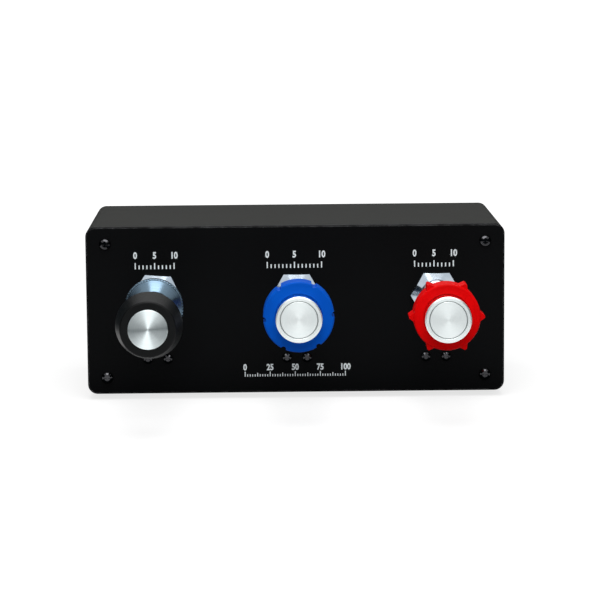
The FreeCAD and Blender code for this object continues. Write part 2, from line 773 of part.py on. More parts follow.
def make_clips(control):
    """Two open retaining rings that hold the coupling on the shaft."""
    ring = rod(f"{control}_clip_ring", "Sizes.clip_radius", "0", "Sizes.clip_thick")
    inside = "Places.groove_radius + Sizes.thread_gap"
    hole = rod(f"{control}_clip_hole", inside, "-1", "Sizes.clip_thick + 1")
    mouth = box(
        f"{control}_clip_mouth",
        across("0", "Sizes.clip_mouth"),
        ("-Sizes.clip_radius - 1", "0"),
        ("-1", "Sizes.clip_thick + 1"),
    )
    clip = cut(f"{control}_clip", ring, hole, mouth)
    coupling = f"Places.{control}_coupling_z"
    heights = (f"{coupling} + Places.clip_offset", f"{coupling} - Places.clip_offset - Sizes.clip_thick")
    places = [
        (f"Places.{control}_x", f"Places.front_y - ({height})", "Places.axis_z", TO_PILOT)
        for height in heights
    ]
    repeated(f"{control}_shaft_clips", clip, places)


def make_coupling(control):
    """A collar round the shaft, with an arm that reaches down and forks over the slider's lever."""
    name = f"{control}_coupling_shape"
    coupling = f"Places.{control}_coupling_z"
    span = across(coupling, "Sizes.coupling_length")
    longer = across(coupling, "Sizes.coupling_length + 2")
    collar = rod(f"{name}_collar", "Sizes.coupling_radius", *span)
    arm = box(f"{name}_arm", across("0", "Sizes.arm_width"), ("-Sizes.arm_drop", "-Sizes.shaft_radius"), span)
    bore = rod(f"{name}_bore", "Places.barrel_bore", *longer)
    fork = box(
        f"{name}_fork",
        across("0", "Sizes.lever_width + 2 * Sizes.slide_gap"),
        ("-Sizes.arm_drop - 1", "-Sizes.lever_top_drop + Sizes.slide_gap"),
        across(coupling, "Sizes.lever_length + 2 * Sizes.slide_gap"),
    )
    solid = cut(name, fuse(f"{name}_solid", collar, arm), bore, fork)
    control_node(solid, f"{control}_coupling", control)


# ---------------------------------------------------------------------------------------------------
# Slide potentiometers on their brackets.
# ---------------------------------------------------------------------------------------------------
def make_pot(control):
    """The metal case with its long slot, the resistive track in it and the slider that runs along."""
    name = f"{control}_pot"
    middle = "-Places.pot_centre"
    case = box(
        f"{name}_block",
        across("0", "Sizes.pot_width"),
        ("Places.pot_bottom", "-Sizes.pot_top_drop"),
        across(middle, "Sizes.pot_length"),
    )
    channel = box(
        f"{name}_channel",
        across("0", "Sizes.channel_width"),
        ("Places.channel_bottom", "Places.channel_top"),
        across(middle, "Places.channel_length"),
    )
    slot = box(
        f"{name}_slot",
        across("0", "Sizes.lever_slot_width"),
        ("Places.channel_top - 0.5", "-Sizes.pot_top_drop + 1"),
        across(middle, "Sizes.travel + Sizes.lever_length + 2 * Sizes.end_room"),
    )
    tools = [channel, slot]
    for side in (-1, 1):
        hole = doc.addObject("Part::Cylinder", f"{name}_screw_hole")
        bind(hole, Radius="Sizes.pot_screw_radius + Sizes.thread_gap", Height="Sizes.pot_screw_bite + 1")
        spot = f"{middle} + {side} * Places.pot_screw_step"
        place(hole, "0", "Places.pot_bottom + Sizes.pot_screw_bite", spot, TO_PILOT)
        tools.append(hole)
    control_node(cut(f"{name}_case_shape", case, *tools), f"{name}_case", control)

    track = box(
        f"{name}_track_strip",
        across("0", "Sizes.channel_width - 2 * Sizes.thread_gap"),
        ("Places.channel_bottom", "Places.channel_bottom + Sizes.track_thick"),
        across(middle, "Places.channel_length - 2 * Sizes.thread_gap"),
    )
    control_node(alone(f"{name}_track_shape", track), f"{name}_track", control)

    coupling = f"Places.{control}_coupling_z"
    wiper_bottom = "Places.channel_bottom + Sizes.track_thick + Sizes.slider_gap"
    wiper_top = "Places.channel_top - Sizes.slider_gap"
    wiper = box(
        f"{name}_wiper",
        across("0", "Sizes.wiper_width"),
        (wiper_bottom, wiper_top),
        across(coupling, "Sizes.wiper_length"),
    )
    lever = box(
        f"{name}_lever",
        across("0", "Sizes.lever_width"),
        (f"{wiper_top} - 0.5", "-Sizes.lever_top_drop"),
        across(coupling, "Sizes.lever_length"),
    )
    control_node(fuse(f"{name}_slider_shape", wiper, lever), f"{name}_slider", control)


def make_bracket(control):
    """A bent strip: the flange is screwed to the panel's back, the shelf carries the potentiometer."""
    name = f"{control}_bracket_shape"
    body = new_body(name)
    back = "-Sizes.panel_thick"
    bottom = "Places.pot_bottom - Sizes.bracket_flange"
    section = new_sketch(body, f"{name}_section", "YZ_Plane")
    add_outline(section, [
        ("Places.pot_bottom", back),
        (bottom, back),
        (bottom, f"{back} - Sizes.bracket_thick"),
        ("Places.shelf_bottom", f"{back} - Sizes.bracket_thick"),
        ("Places.shelf_bottom", "Places.shelf_end"),
        ("Places.pot_bottom", "Places.shelf_end"),
    ])
    pad(body, section, "Sizes.bracket_width", symmetric=True)
    flange = new_sketch(body, f"{name}_flange_holes", "XY_Plane", back)
    hole_radius = "Sizes.bracket_screw_radius + Sizes.screw_hole_gap"
    for side in (-1, 1):
        x = f"{side} * Sizes.bracket_screw_half_span"
        add_circle(flange, hole_radius, x, "-Sizes.bracket_screw_drop")
    pocket(body, flange)
    shelf = new_sketch(body, f"{name}_shelf_holes", "XZ_Plane", "-Places.shelf_bottom")
    for side in (-1, 1):
        z = f"-Places.pot_centre + {side} * Places.pot_screw_step"
        add_circle(shelf, "Sizes.pot_screw_radius + Sizes.screw_hole_gap", "0", z)
    pocket(body, shelf)
    control_node(body, f"{control}_bracket", control)


def make_bracket_fasteners():
    """Small pan-head screws through the panel with nuts behind the flanges, and the pots' screws."""
    grip = "Sizes.panel_thick + Sizes.bracket_thick"
    screw = pan_screw(
        "bracket_screw", "Sizes.bracket_screw_radius",
        f"{grip} + Sizes.bracket_nut_thick + Sizes.bracket_screw_past_nut",
        "Sizes.bracket_screw_head_radius", "Sizes.bracket_screw_head_height",
    )
    blank = hexagon("bracket_nut_blank", "Sizes.bracket_nut_flats", "0", "Sizes.bracket_nut_thick")
    hole_radius = "Sizes.bracket_screw_radius + Sizes.thread_gap"
    nut = cut("bracket_nut", blank, rod("bracket_nut_bore", hole_radius, "-1", "Sizes.bracket_nut_thick + 1"))
    pot_screw = pan_screw(
        "pot_screw", "Sizes.pot_screw_radius", "Sizes.bracket_thick + Sizes.pot_screw_bite - 0.5",
        "Sizes.pot_screw_head_radius", "Sizes.pot_screw_head_height",
    )
    screws, nuts, pot_screws = [], [], []
    for control in CONTROLS:
        for side in (-1, 1):
            x = f"Places.{control}_x + {side} * Sizes.bracket_screw_half_span"
            z = "Places.axis_z - Sizes.bracket_screw_drop"
            screws.append((x, "Places.front_y", z, TO_PILOT))
            nuts.append((x, f"Places.front_y + {grip} + Sizes.bracket_nut_thick", z, TO_PILOT))
            y = f"Places.front_y + Places.pot_centre + {side} * Places.pot_screw_step"
            pot_screws.append((f"Places.{control}_x", y, "Places.axis_z + Places.shelf_bottom", FROM_BELOW))
    repeated("bracket_screws", screw, screws)
    repeated("bracket_nuts", nut, nuts)
    repeated("pot_screws", pot_screw, pot_screws)


# ---------------------------------------------------------------------------------------------------
# Throttle: a plain push-pull knob, with a knurled wheel that clamps a split collet on the shaft.
# ---------------------------------------------------------------------------------------------------
def make_friction_wheel():
    """The knurled wheel on the barrel's nose."""
    body = turned("wheel", [
        ("Sizes.throttle_nose_radius + Sizes.slide_gap", "Sizes.wheel_rear"),
        ("Sizes.wheel_radius - Sizes.wheel_bevel", "Sizes.wheel_rear"),
        ("Sizes.wheel_radius", "Sizes.wheel_rear + Sizes.wheel_bevel"),
        ("Sizes.wheel_radius", "Places.wheel_front - Sizes.wheel_bevel"),
        ("Sizes.wheel_radius - Sizes.wheel_bevel", "Places.wheel_front"),
        ("Sizes.shaft_radius + Sizes.wheel_hole_gap", "Places.wheel_front"),
        ("Sizes.shaft_radius + Sizes.wheel_hole_gap", "Places.wheel_front - Sizes.wheel_web"),
        ("Sizes.throttle_nose_radius + Sizes.slide_gap", "Places.wheel_front - Sizes.wheel_web"),
    ])
    groove = new_sketch(body, "knurl_groove", "XY_Plane")
    add_outline(groove, [
        ("Sizes.wheel_radius - Sizes.knurl_depth", "0"),
        ("Sizes.wheel_radius + Sizes.knurl_depth", "-Sizes.knurl_depth"),
        ("Sizes.wheel_radius + Sizes.knurl_depth", "Sizes.knurl_depth"),
    ])
    around(body, pocket(body, groove, reverse=True), groove, "Sizes.knurl_count")
    control_node(body, "throttle_friction_wheel", "throttle")


def make_collet():
    """The split ring between the barrel's nose and the wheel's web."""
    low = "Sizes.throttle_nose_end + Sizes.collet_end_gap"
    high = "Places.wheel_front - Sizes.wheel_web - Sizes.collet_end_gap"
    ring = rod("collet_ring", "Sizes.throttle_nose_radius - Sizes.collet_end_gap", low, high)
    bore = rod("collet_bore", "Places.barrel_bore", f"{low} - 1", f"{high} + 1")
    slot = box(
        "collet_slot_box",
        across("0", "Sizes.collet_slot"),
        ("0", "Sizes.throttle_nose_radius + 1"),
        (f"{low} - 1", f"{high} + 1"),
    )
    control_node(cut("collet", ring, bore, slot), "throttle_friction_collet", "throttle")


def make_throttle_knob():
    """Shaft, tapered knob and the metal disc let into its face."""
    grip_end = "Places.throttle_knob_rear + Sizes.throttle_knob_grip"
    shaft = turned("throttle_shaft_body", shaft_outline("Places.throttle_coupling_z", grip_end, "0"))
    control_node(shaft, "throttle_shaft", "throttle")

    recess = "Sizes.throttle_knob_front + Sizes.disc_proud - Sizes.disc_thick"
    widest = "Sizes.throttle_knob_front - Sizes.throttle_knob_flank"
    bore = "Sizes.shaft_radius + Sizes.slide_gap"
    knob = turned("throttle_knob_body", [
        ("0", grip_end),
        ("0", recess),
        ("Sizes.disc_radius + Sizes.disc_gap", recess),
        ("Sizes.disc_radius + Sizes.disc_gap", "Sizes.throttle_knob_front"),
        ("Sizes.throttle_knob_face_radius", "Sizes.throttle_knob_front"),
        ("Sizes.throttle_knob_radius", widest),
        ("Sizes.throttle_knob_tail_radius", "Places.throttle_knob_rear + Sizes.knob_round"),
        ("Sizes.throttle_knob_tail_radius", "Places.throttle_knob_rear"),
        (bore, "Places.throttle_knob_rear"),
        (bore, grip_end),
    ])
    round_edges(
        knob, "Sizes.knob_round * 0.6",
        ("Sizes.throttle_knob_radius", widest),
        ("Sizes.throttle_knob_face_radius", "Sizes.throttle_knob_front"),
    )
    control_node(knob, "throttle_knob", "throttle")

    front = "Sizes.throttle_knob_front + Sizes.disc_proud"
    disc = turned("throttle_disc_body", [
        ("0", recess),
        ("Sizes.disc_radius", recess),
        ("Sizes.disc_radius", f"{front} - Sizes.disc_proud / 2"),
        ("Sizes.disc_radius - Sizes.disc_proud / 2", front),
        ("0", front),
    ])
    control_node(disc, "throttle_knob_disc", "throttle")


# ---------------------------------------------------------------------------------------------------
# Propeller and mixture: vernier knobs with a sprung release button and a rod through the shaft.
# ---------------------------------------------------------------------------------------------------
def vernier_blank(control):
    """The turned form of a vernier knob: hub, rim and the bore that the button slides in."""
    front = f"Sizes.{control}_knob_front"
    rear = f"Places.{control}_knob_rear"
    rim = f"Sizes.{control}_rim_radius"
    floor = f"{front} - Places.knob_bore_depth"
    bore = "Sizes.shaft_radius + Sizes.slide_gap"
    body = turned(f"{control}_knob_body", [
        (bore, rear),
        ("Sizes.hub_radius", rear),
        ("Sizes.hub_flare_radius", f"{front} - Sizes.rim_thick"),
        (rim, f"{front} - Sizes.rim_thick"),
        (rim, front),
        ("Places.button_bore + Sizes.mouth_bevel", front),
        ("Places.button_bore", f"{front} - Sizes.mouth_bevel"),
        ("Places.button_bore", floor),
        (bore, floor),
    ])
    round_edges(body, "Sizes.rim_round", (rim, front), (rim, f"{front} - Sizes.rim_thick"))
    return body


def make_prop_knob():
    """A round knob with shallow rounded finger notches along its rim."""
    body = vernier_blank("prop")
    notch = new_sketch(body, "prop_notch", "XY_Plane", "Sizes.prop_knob_front - Sizes.rim_thick - 1")
    add_circle(notch, "Sizes.notch_radius", "Sizes.prop_rim_radius")
    around(body, pocket(body, notch, reverse=True), notch, "Sizes.notch_count")
    control_node(body, "prop_knob", "prop", value("Sizes.notch_turn"))


def make_mixture_knob():
    """A round knob with small pointed ears that stand out of its rim."""
    body = vernier_blank("mixture")
    start = "Sizes.mixture_knob_front - Sizes.rim_thick + Sizes.rim_round"
    ear = new_sketch(body, "mixture_ear", "XY_Plane", start)
    root = "Sizes.mixture_rim_radius - 1"
    add_outline(ear, [
        (root, "-Sizes.ear_width / 2"),
        ("Sizes.ear_tip_radius", "-Sizes.ear_tip_width / 2"),
        ("Sizes.ear_tip_radius", "Sizes.ear_tip_width / 2"),
        (root, "Sizes.ear_width / 2"),
    ])
    lug = pad(body, ear, "Sizes.rim_thick - 2 * Sizes.rim_round")
    around(body, lug, ear, "Sizes.ear_count")
    control_node(body, "mixture_knob", "mixture")


def make_button(control):
    """A turned cup: a ring is cut into its face, and a boss inside it takes the release rod."""
    face = f"Sizes.{control}_knob_front + Sizes.button_proud"
    roof = f"{face} - Sizes.button_face_thick"
    rear = f"{face} - Sizes.button_length"
    boss = f"{roof} - Sizes.button_boss_length"
    cup = "Sizes.button_radius - Sizes.button_wall"
    ring_in = "Sizes.button_groove_radius - Sizes.button_groove"
    ring_out = "Sizes.button_groove_radius + Sizes.button_groove"
    button = turned(f"{control}_button_body", [
        ("0", roof),
        ("0", face),
        (ring_in, face),
        ("Sizes.button_groove_radius", f"{face} - Sizes.button_groove"),
        (ring_out, face),
        ("Sizes.button_radius - Sizes.button_bevel", face),
        ("Sizes.button_radius", f"{face} - Sizes.button_bevel"),
        ("Sizes.button_radius", rear),
        (cup, rear),
        (cup, roof),
        ("Sizes.button_boss_radius", roof),
        ("Sizes.button_boss_radius", boss),
        ("Sizes.rod_radius + Sizes.thread_gap", boss),
        ("Sizes.rod_radius + Sizes.thread_gap", roof),
    ])
    control_node(button, f"{control}_button", control)


def make_release_rod(control):
    """The rod from the button's boss through the hollow shaft."""
    roof = f"Sizes.{control}_knob_front + Sizes.button_proud - Sizes.button_face_thick"
    rear = f"Places.{control}_coupling_z - Places.shaft_overhang + Sizes.rod_end_room"
    item = turned(f"{control}_rod_body", [
        ("0", rear), ("Sizes.rod_radius", rear), ("Sizes.rod_radius", roof), ("0", roof),
    ])
    control_node(item, f"{control}_release_rod", control)


def make_button_spring(control):
    """The coil that lifts the button: from the floor of the knob's bore to the button's roof."""
    wire = value("Sizes.spring_wire")
    radius = value("Sizes.spring_radius")
    seat = wire + value("Sizes.spring_seat_gap")
    floor = f"Sizes.{control}_knob_front - Places.knob_bore_depth"
    roof = f"Sizes.{control}_knob_front + Sizes.button_proud - Sizes.button_face_thick"
    length = value(roof) - value(floor) - 2 * seat
    pitch = length / value("Sizes.spring_turns")
    helix = Part.makeHelix(pitch, length, radius)
    slope = math.degrees(math.atan2(pitch, 2 * math.pi * radius))
    start = Vector(radius, 0, 0)
    along = Rotation(Vector(1, 0, 0), slope).multVec(Vector(0, 1, 0))
    section = Part.Wire([Part.makeCircle(wire, start, along)])
    coil = Part.Wire(helix.Edges).makePipeShell([section], True, True)
    spring = doc.addObject("Part::Feature", f"{control}_spring_coil")
    spring.Shape = coil
    height = f"{floor} + Sizes.spring_wire + Sizes.spring_seat_gap"
    control_node(spring, f"{control}_button_spring", control, height=height)


def make_vernier(control):
    """The pieces that the propeller and mixture controls share."""
    floor = f"Sizes.{control}_knob_front - Places.knob_bore_depth"
    coupling = f"Places.{control}_coupling_z"
    shaft = turned(f"{control}_shaft_body", shaft_outline(coupling, floor, "Places.rod_bore"))
    control_node(shaft, f"{control}_shaft", control)
    make_button(control)
    make_release_rod(control)
    make_button_spring(control)


# ---------------------------------------------------------------------------------------------------
# Controller board: standoffs, screws, chip, USB socket and lead headers.
# ---------------------------------------------------------------------------------------------------
def board_corners():
    """The four holes of the board, as (x, y) in the row frame."""
    corners = []
    for side, depth in signs():
        x = f"Places.board_x + {side} * (Sizes.board_width / 2 - Sizes.board_hole_inset)"
        middle = "(Places.board_front + Places.board_rear) / 2"
        y = f"{middle} + {depth} * (Sizes.board_length / 2 - Sizes.board_hole_inset)"
        corners.append((x, y))
    return corners


def make_board():
    """The board on four standoffs, held by four screws."""
    underside = "Places.board_top - Sizes.board_thick"
    plate = box(
        "board_plate",
        across("Places.board_x", "Sizes.board_width"),
        ("Places.board_front", "Places.board_rear"),
        (underside, "Places.board_top"),
    )
    hole = "Sizes.board_screw_radius + Sizes.screw_hole_gap"
    holes = [
        rod(f"board_hole_{count}", hole, f"{underside} - 1", "Places.board_top + 1", x, y)
        for count, (x, y) in enumerate(board_corners())
    ]
    node(cut("board", plate, *holes), "controller_board")

    post = rod("standoff_post", "Sizes.standoff_radius", "0", "Sizes.standoff_height")
    thread = "Sizes.board_screw_radius + Sizes.thread_gap"
    bottom = "Sizes.standoff_height - Sizes.board_screw_bite"
    standoff = cut("standoff", post, rod("standoff_bore", thread, bottom, "Sizes.standoff_height + 1"))
    repeated("board_standoffs", standoff, [(x, y, "Places.floor_z", UPRIGHT) for x, y in board_corners()])

    screw = pan_screw(
        "board_screw", "Sizes.board_screw_radius", "Sizes.board_thick + Sizes.board_screw_bite",
        "Sizes.board_screw_head_radius", "Sizes.board_screw_head_height",
    )
    repeated("board_screws", screw, [(x, y, "Places.board_top", UPRIGHT) for x, y in board_corners()])

    chip = box(
        "chip",
        across("Places.board_x", "Sizes.chip_size"),
        across("(Places.header_y + Places.socket_rear - Sizes.socket_length) / 2", "Sizes.chip_size"),
        ("Places.board_top", "Places.board_top + Sizes.chip_thick"),
    )
    node(alone("chip_shape", chip), "microcontroller_chip")


def make_socket():
    """The square USB socket: a thin metal shell, and the plastic insert with its tongue."""
    middle = "Places.board_top + Sizes.socket_height / 2"
    inside_w = "Sizes.socket_width - 2 * Sizes.socket_wall"
    inside_h = "Sizes.socket_height - 2 * Sizes.socket_wall"
    front = "Places.socket_rear - Sizes.socket_length"
    outer = box(
        "socket_outer",
        across("Places.board_x", "Sizes.socket_width"),
        (front, "Places.socket_rear"),
        across(middle, "Sizes.socket_height"),
    )
    inner = box(
        "socket_inner",
        across("Places.board_x", inside_w),
        (f"{front} + Sizes.socket_wall", "Places.socket_rear + 1"),
        across(middle, inside_h),
    )
    node(cut("socket_shell", outer, inner), "usb_socket_shell")

    start = f"{front} + Sizes.socket_wall + Sizes.insulator_gap"
    end = f"{start} + Sizes.insulator_length"
    block = box(
        "insert_block",
        across("Places.board_x", f"{inside_w} - 2 * Sizes.insulator_gap"),
        (start, end),
        across(middle, f"{inside_h} - 2 * Sizes.insulator_gap"),
    )
    mouth = box(
        "insert_mouth",
        across("Places.board_x", "Sizes.mouth_width"),
        (f"{end} - Sizes.mouth_depth", f"{end} + 1"),
        across(middle, "Sizes.mouth_height"),
    )
    tongue = box(
        "insert_tongue",
        across("Places.board_x", "Sizes.tongue_width"),
        (f"{end} - Sizes.mouth_depth - 0.5", f"{end} - Sizes.mouth_depth + Sizes.tongue_length"),
        across(middle, "Sizes.tongue_height"),
    )
    node(fuse("socket_insert", cut("insert_cup", block, mouth), tongue), "usb_socket_insert")


def header_x(count):
    """Where one of the three lead headers stands, in the row frame."""
    return f"Places.board_x + {count - 1} * Places.header_pitch"


def make_headers():
    """Three small headers along the board's front edge."""
    header = box(
        "header_block",
        across("0", "Sizes.header_width"),
        across("0", "Sizes.header_length"),
        ("0", "Sizes.header_height"),
    )
    places = [(header_x(count), "Places.header_y", "Places.board_top", UPRIGHT) for count in range(3)]
    repeated("lead_headers", alone("header_shape", header), places)


def bent_tube(points, radius, bend):
    """A round tube along straight runs joined by tangent arcs of one bend radius."""
    edges = []
    start = points[0]
    for before, corner, after in zip(points, points[1:], points[2:]):
        inward = (before - corner).normalize()
        outward = (after - corner).normalize()
        half_angle = inward.getAngle(outward) / 2
        setback = bend / math.tan(half_angle)
        middle = (inward + outward).normalize()
        mid_point = corner + middle * (bend / math.sin(half_angle) - bend)
        leave = corner + inward * setback
        join = corner + outward * setback
        edges.append(Part.LineSegment(start, leave).toShape())
        edges.append(Part.Arc(leave, mid_point, join).toShape())
        start = join
    edges.append(Part.LineSegment(start, points[-1]).toShape())
    section = Part.Wire([Part.makeCircle(radius, points[0], points[1] - points[0])])
    return Part.Wire(edges).makePipeShell([section], True, False)


def make_leads():
    """A sleeved lead from each potentiometer's flank to its header; the far one crosses the floor."""
    exit_z = value("Places.lead_exit_z")
    header_y = value("Places.header_y")
    header_top = value("Places.header_top")
    half_pot = value("Sizes.pot_width") / 2
    radius = value("Sizes.lead_radius")
    loop_z = header_top + value("Sizes.lead_loop_height")
    floor_z = value("Places.floor_z") + radius + value("Sizes.lead_floor_gap")
    run_y = value("Places.board_front") - value("Sizes.lead_front_gap")
    left, middle, right = (value(header_x(count)) for count in range(3))
    throttle_x = value("Places.throttle_x") + half_pot
    prop_x = value("Places.prop_x") - half_pot
    mixture_x = value("Places.mixture_x") - half_pot
    drop_x = mixture_x - 3 * value("Sizes.lead_bend")
    routes = {
        "throttle": [
            Vector(throttle_x, header_y, exit_z),
            Vector(left, header_y, exit_z),
            Vector(left, header_y, header_top),
        ],
        "prop": [
            Vector(prop_x, header_y, exit_z),
            Vector(right, header_y, exit_z),
            Vector(right, header_y, header_top),
        ],
        "mixture": [
            Vector(mixture_x, run_y, exit_z),
            Vector(drop_x, run_y, exit_z),
            Vector(drop_x, run_y, floor_z),
            Vector(middle, run_y, floor_z),
            Vector(middle, run_y, loop_z),
            Vector(middle, header_y, loop_z),
            Vector(middle, header_y, header_top),
        ],
    }
    for control, points in routes.items():
        lead = doc.addObject("Part::Feature", f"{control}_lead_tube")
        lead.Shape = bent_tube(points, radius, value("Sizes.lead_bend"))
        node(lead, f"{control}_pot_lead")


# ---------------------------------------------------------------------------------------------------
# Build everything, check it and write one file per sub-part.
# ---------------------------------------------------------------------------------------------------
make_enclosure()
make_panel()
make_panel_screws()
make_feet()
make_board()
make_socket()
make_headers()
make_leads()
make_barrel("throttle", "Sizes.throttle_nose_radius", "Sizes.throttle_nose_end")
make_panel_nut("throttle", value("Sizes.throttle_nut_turn"))
for vernier in VERNIERS:
    make_barrel(vernier, "Sizes.vernier_nose_radius", "Sizes.vernier_nose_end")
    make_panel_nut(vernier, 0.0)
    make_vernier(vernier)
make_lock_washers()
make_friction_wheel()
make_collet()
make_throttle_knob()
make_prop_knob()
make_mixture_knob()
for name in CONTROLS:
    make_clips(name)
    make_coupling(name)
    make_pot(name)
    make_bracket(name)
make_bracket_fasteners()

doc.recompute()
for item in doc.Objects:
    if "Invalid" in item.State or "Error" in item.State:
        raise RuntimeError(f"{item.Label} did not recompute: {item.State}")
for item in nodes:
    if item.Shape.isNull() or not item.Shape.isValid() or not item.Shape.Solids:
        raise RuntimeError(f"{item.Label} has no valid solid")

os.makedirs("parts", exist_ok=True)
for item in nodes:
    item.Shape.exportStep(f"parts/{item.Label}.step")
    print(f"{item.Label}: {len(item.Shape.Solids)} solid(s), {item.Shape.Volume:.0f} mm3")
print(f"{len(nodes)} sub-parts written")
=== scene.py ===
# %% [markdown]
# A desktop throttle quadrant: a dark metal box with three push-pull engine controls on its front.
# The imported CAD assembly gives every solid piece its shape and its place. This lesson lights it,
# adds the printed marks, the cut threads and the knurl, and gives each piece its maker's finish.
# Lengths are in metres here, so a size in millimetres is multiplied by MM.

# %% Load the assembly
import json
import math

import bmesh
import bpy
from mathutils import Matrix, Vector


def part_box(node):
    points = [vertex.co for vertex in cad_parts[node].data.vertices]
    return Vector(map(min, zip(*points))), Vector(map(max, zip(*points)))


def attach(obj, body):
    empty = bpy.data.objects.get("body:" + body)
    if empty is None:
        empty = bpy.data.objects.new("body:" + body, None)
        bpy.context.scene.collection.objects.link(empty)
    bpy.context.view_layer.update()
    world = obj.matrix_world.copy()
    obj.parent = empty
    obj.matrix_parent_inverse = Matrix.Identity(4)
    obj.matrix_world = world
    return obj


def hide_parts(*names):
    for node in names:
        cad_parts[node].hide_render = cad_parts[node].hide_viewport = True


MM = 0.001
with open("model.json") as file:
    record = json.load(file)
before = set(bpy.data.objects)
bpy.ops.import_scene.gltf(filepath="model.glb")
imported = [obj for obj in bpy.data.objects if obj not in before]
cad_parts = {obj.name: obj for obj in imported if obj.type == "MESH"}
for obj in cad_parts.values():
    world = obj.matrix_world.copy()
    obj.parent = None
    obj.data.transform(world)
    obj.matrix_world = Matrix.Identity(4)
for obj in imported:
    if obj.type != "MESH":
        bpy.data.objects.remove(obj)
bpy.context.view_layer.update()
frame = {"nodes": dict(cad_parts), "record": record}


# %% [markdown]
# The camera stands well back with a long lens, a little above the box, as it would for a catalogue.
# A short lens close by would swell the knobs, which stand out towards the camera. Its turn is made
# of three plain turns, which are easier to adjust than a matrix: roll about the lens, tilt, then pan.

# %% Camera
CAMERA_PLACE = (-16.5, -1329.1, 239.6)  # in millimetres
LENS, SENSOR_WIDTH = 150.06, 36.0
PAN, TILT_DOWN, ROLL = -0.84, 8.38, -0.44  # in degrees

camera_data = bpy.data.cameras.new("studio_camera")
camera_data.sensor_width = SENSOR_WIDTH
camera_data.lens = LENS
camera_data.clip_start = 0.05
camera_data.clip_end = 60.0
camera = bpy.data.objects.new("studio_camera", camera_data)
bpy.context.scene.collection.objects.link(camera)
pan = Matrix.Rotation(math.radians(PAN), 4, "Z")
tilt = Matrix.Rotation(math.radians(90.0 - TILT_DOWN), 4, "X")
roll = Matrix.Rotation(math.radians(ROLL), 4, "Z")
camera.matrix_world = Matrix.Translation(Vector(CAMERA_PLACE) * MM) @ pan @ tilt @ roll
bpy.context.scene.camera = camera
print("camera stands", round(camera.location.length, 3), "m from the origin")


# %% [markdown]
# Node trees are easier to read when each line makes one thing. These helpers place a node, feed a
# socket with either a number or another node's output, and do arithmetic or blend two colours.

# %% Node helpers
def feed(tree, socket, source):
    """A number, a colour or another node's output goes into a socket."""
    if isinstance(source, bpy.types.NodeSocket):
        tree.links.new(source, socket)
    else:
        socket.default_value = source


def put(tree, kind, settings=None, **sources):
    """A shader node with its settings, and sources for its inputs; underscores stand for spaces."""
    node = tree.nodes.new(kind)
    for name, setting in (settings or {}).items():
        setattr(node, name, setting)
    for name, source in sources.items():
        feed(tree, node.inputs[name.replace("_", " ")], source)
    return node


def work_out(tree, operation, *terms):
    """The result of one Math node."""
    node = put(tree, "ShaderNodeMath", {"operation": operation})
    for socket, term in zip(node.inputs, terms):
        feed(tree, socket, term)
    return node.outputs[0]


def rescale(tree, source, low, high, new_low=0.0, new_high=1.0):
    """A value stretched from one range to another and held inside it."""
    node = put(tree, "ShaderNodeMapRange", {"clamp": True})
    for socket, term in zip(node.inputs, (source, low, high, new_low, new_high)):
        feed(tree, socket, term)
    return node.outputs[0]


def blend_colours(tree, share, first, second):
    """A colour between two others."""
    node = put(tree, "ShaderNodeMix", {"data_type": "RGBA"})
    for number, source in ((0, share), (6, first), (7, second)):  # the Mix node's sockets for colours
        feed(tree, node.inputs[number], source)
    return node.outputs[2]


def grey(level):
    """A colour with the same red, green and blue."""
    return (level, level, level, 1.0)


# %% [markdown]
# The studio is a wide white floor under an even white sky. Camera rays, and rays that mirror or
# pass through something, see plain white. The sky lights matt surfaces more gently, so that the lamps
# can still shape them. The floor glows for the same rays, a little less near the box than far away, so
# that it meets the sky without a line. Its grey paint adds what the lamps throw on it, and where the box
# stands in their light the paint adds less, which is the soft shadow.

# %% Sky and floor
def seen_or_mirrored(tree):
    """One where a ray comes from the camera or from a mirror-like or clear surface, otherwise nought."""
    path = put(tree, "ShaderNodeLightPath")
    first = work_out(tree, "MAXIMUM", path.outputs["Is Camera Ray"], path.outputs["Is Glossy Ray"])
    return work_out(tree, "MAXIMUM", first, path.outputs["Is Transmission Ray"])


SKY_LIGHT = 0.42  # how strongly the sky lights matt surfaces, where one is plain white
world = bpy.data.worlds.new("studio_sky")
bpy.context.scene.world = world
world.use_nodes = True
sky_tree = world.node_tree
sky_tree.nodes.clear()
sky_strength = rescale(sky_tree, seen_or_mirrored(sky_tree), 0.0, 1.0, SKY_LIGHT, 1.0)
sky = put(sky_tree, "ShaderNodeBackground", Color=grey(1.0), Strength=sky_strength)
put(sky_tree, "ShaderNodeOutputWorld", Surface=sky.outputs[0])

FLOOR_RADIUS = 14.0
FLOOR_LIES = -0.1 * MM  # just under the feet, so that the two faces don't flicker
FLOOR_PAINT = 0.30
GLOW_NEAR, GLOW_FAR = 0.30, 1.0  # distances from the middle between which the glow grows
GLOW_LEAST, GLOW_MOST = 0.75, 1.0
floor_mesh = bpy.data.meshes.new("studio_floor")
floor_shape = bmesh.new()
bmesh.ops.create_circle(floor_shape, cap_ends=True, segments=96, radius=FLOOR_RADIUS)
floor_shape.to_mesh(floor_mesh)
floor_shape.free()
floor = bpy.data.objects.new("studio_floor", floor_mesh)
floor.location.z = FLOOR_LIES
bpy.context.scene.collection.objects.link(floor)

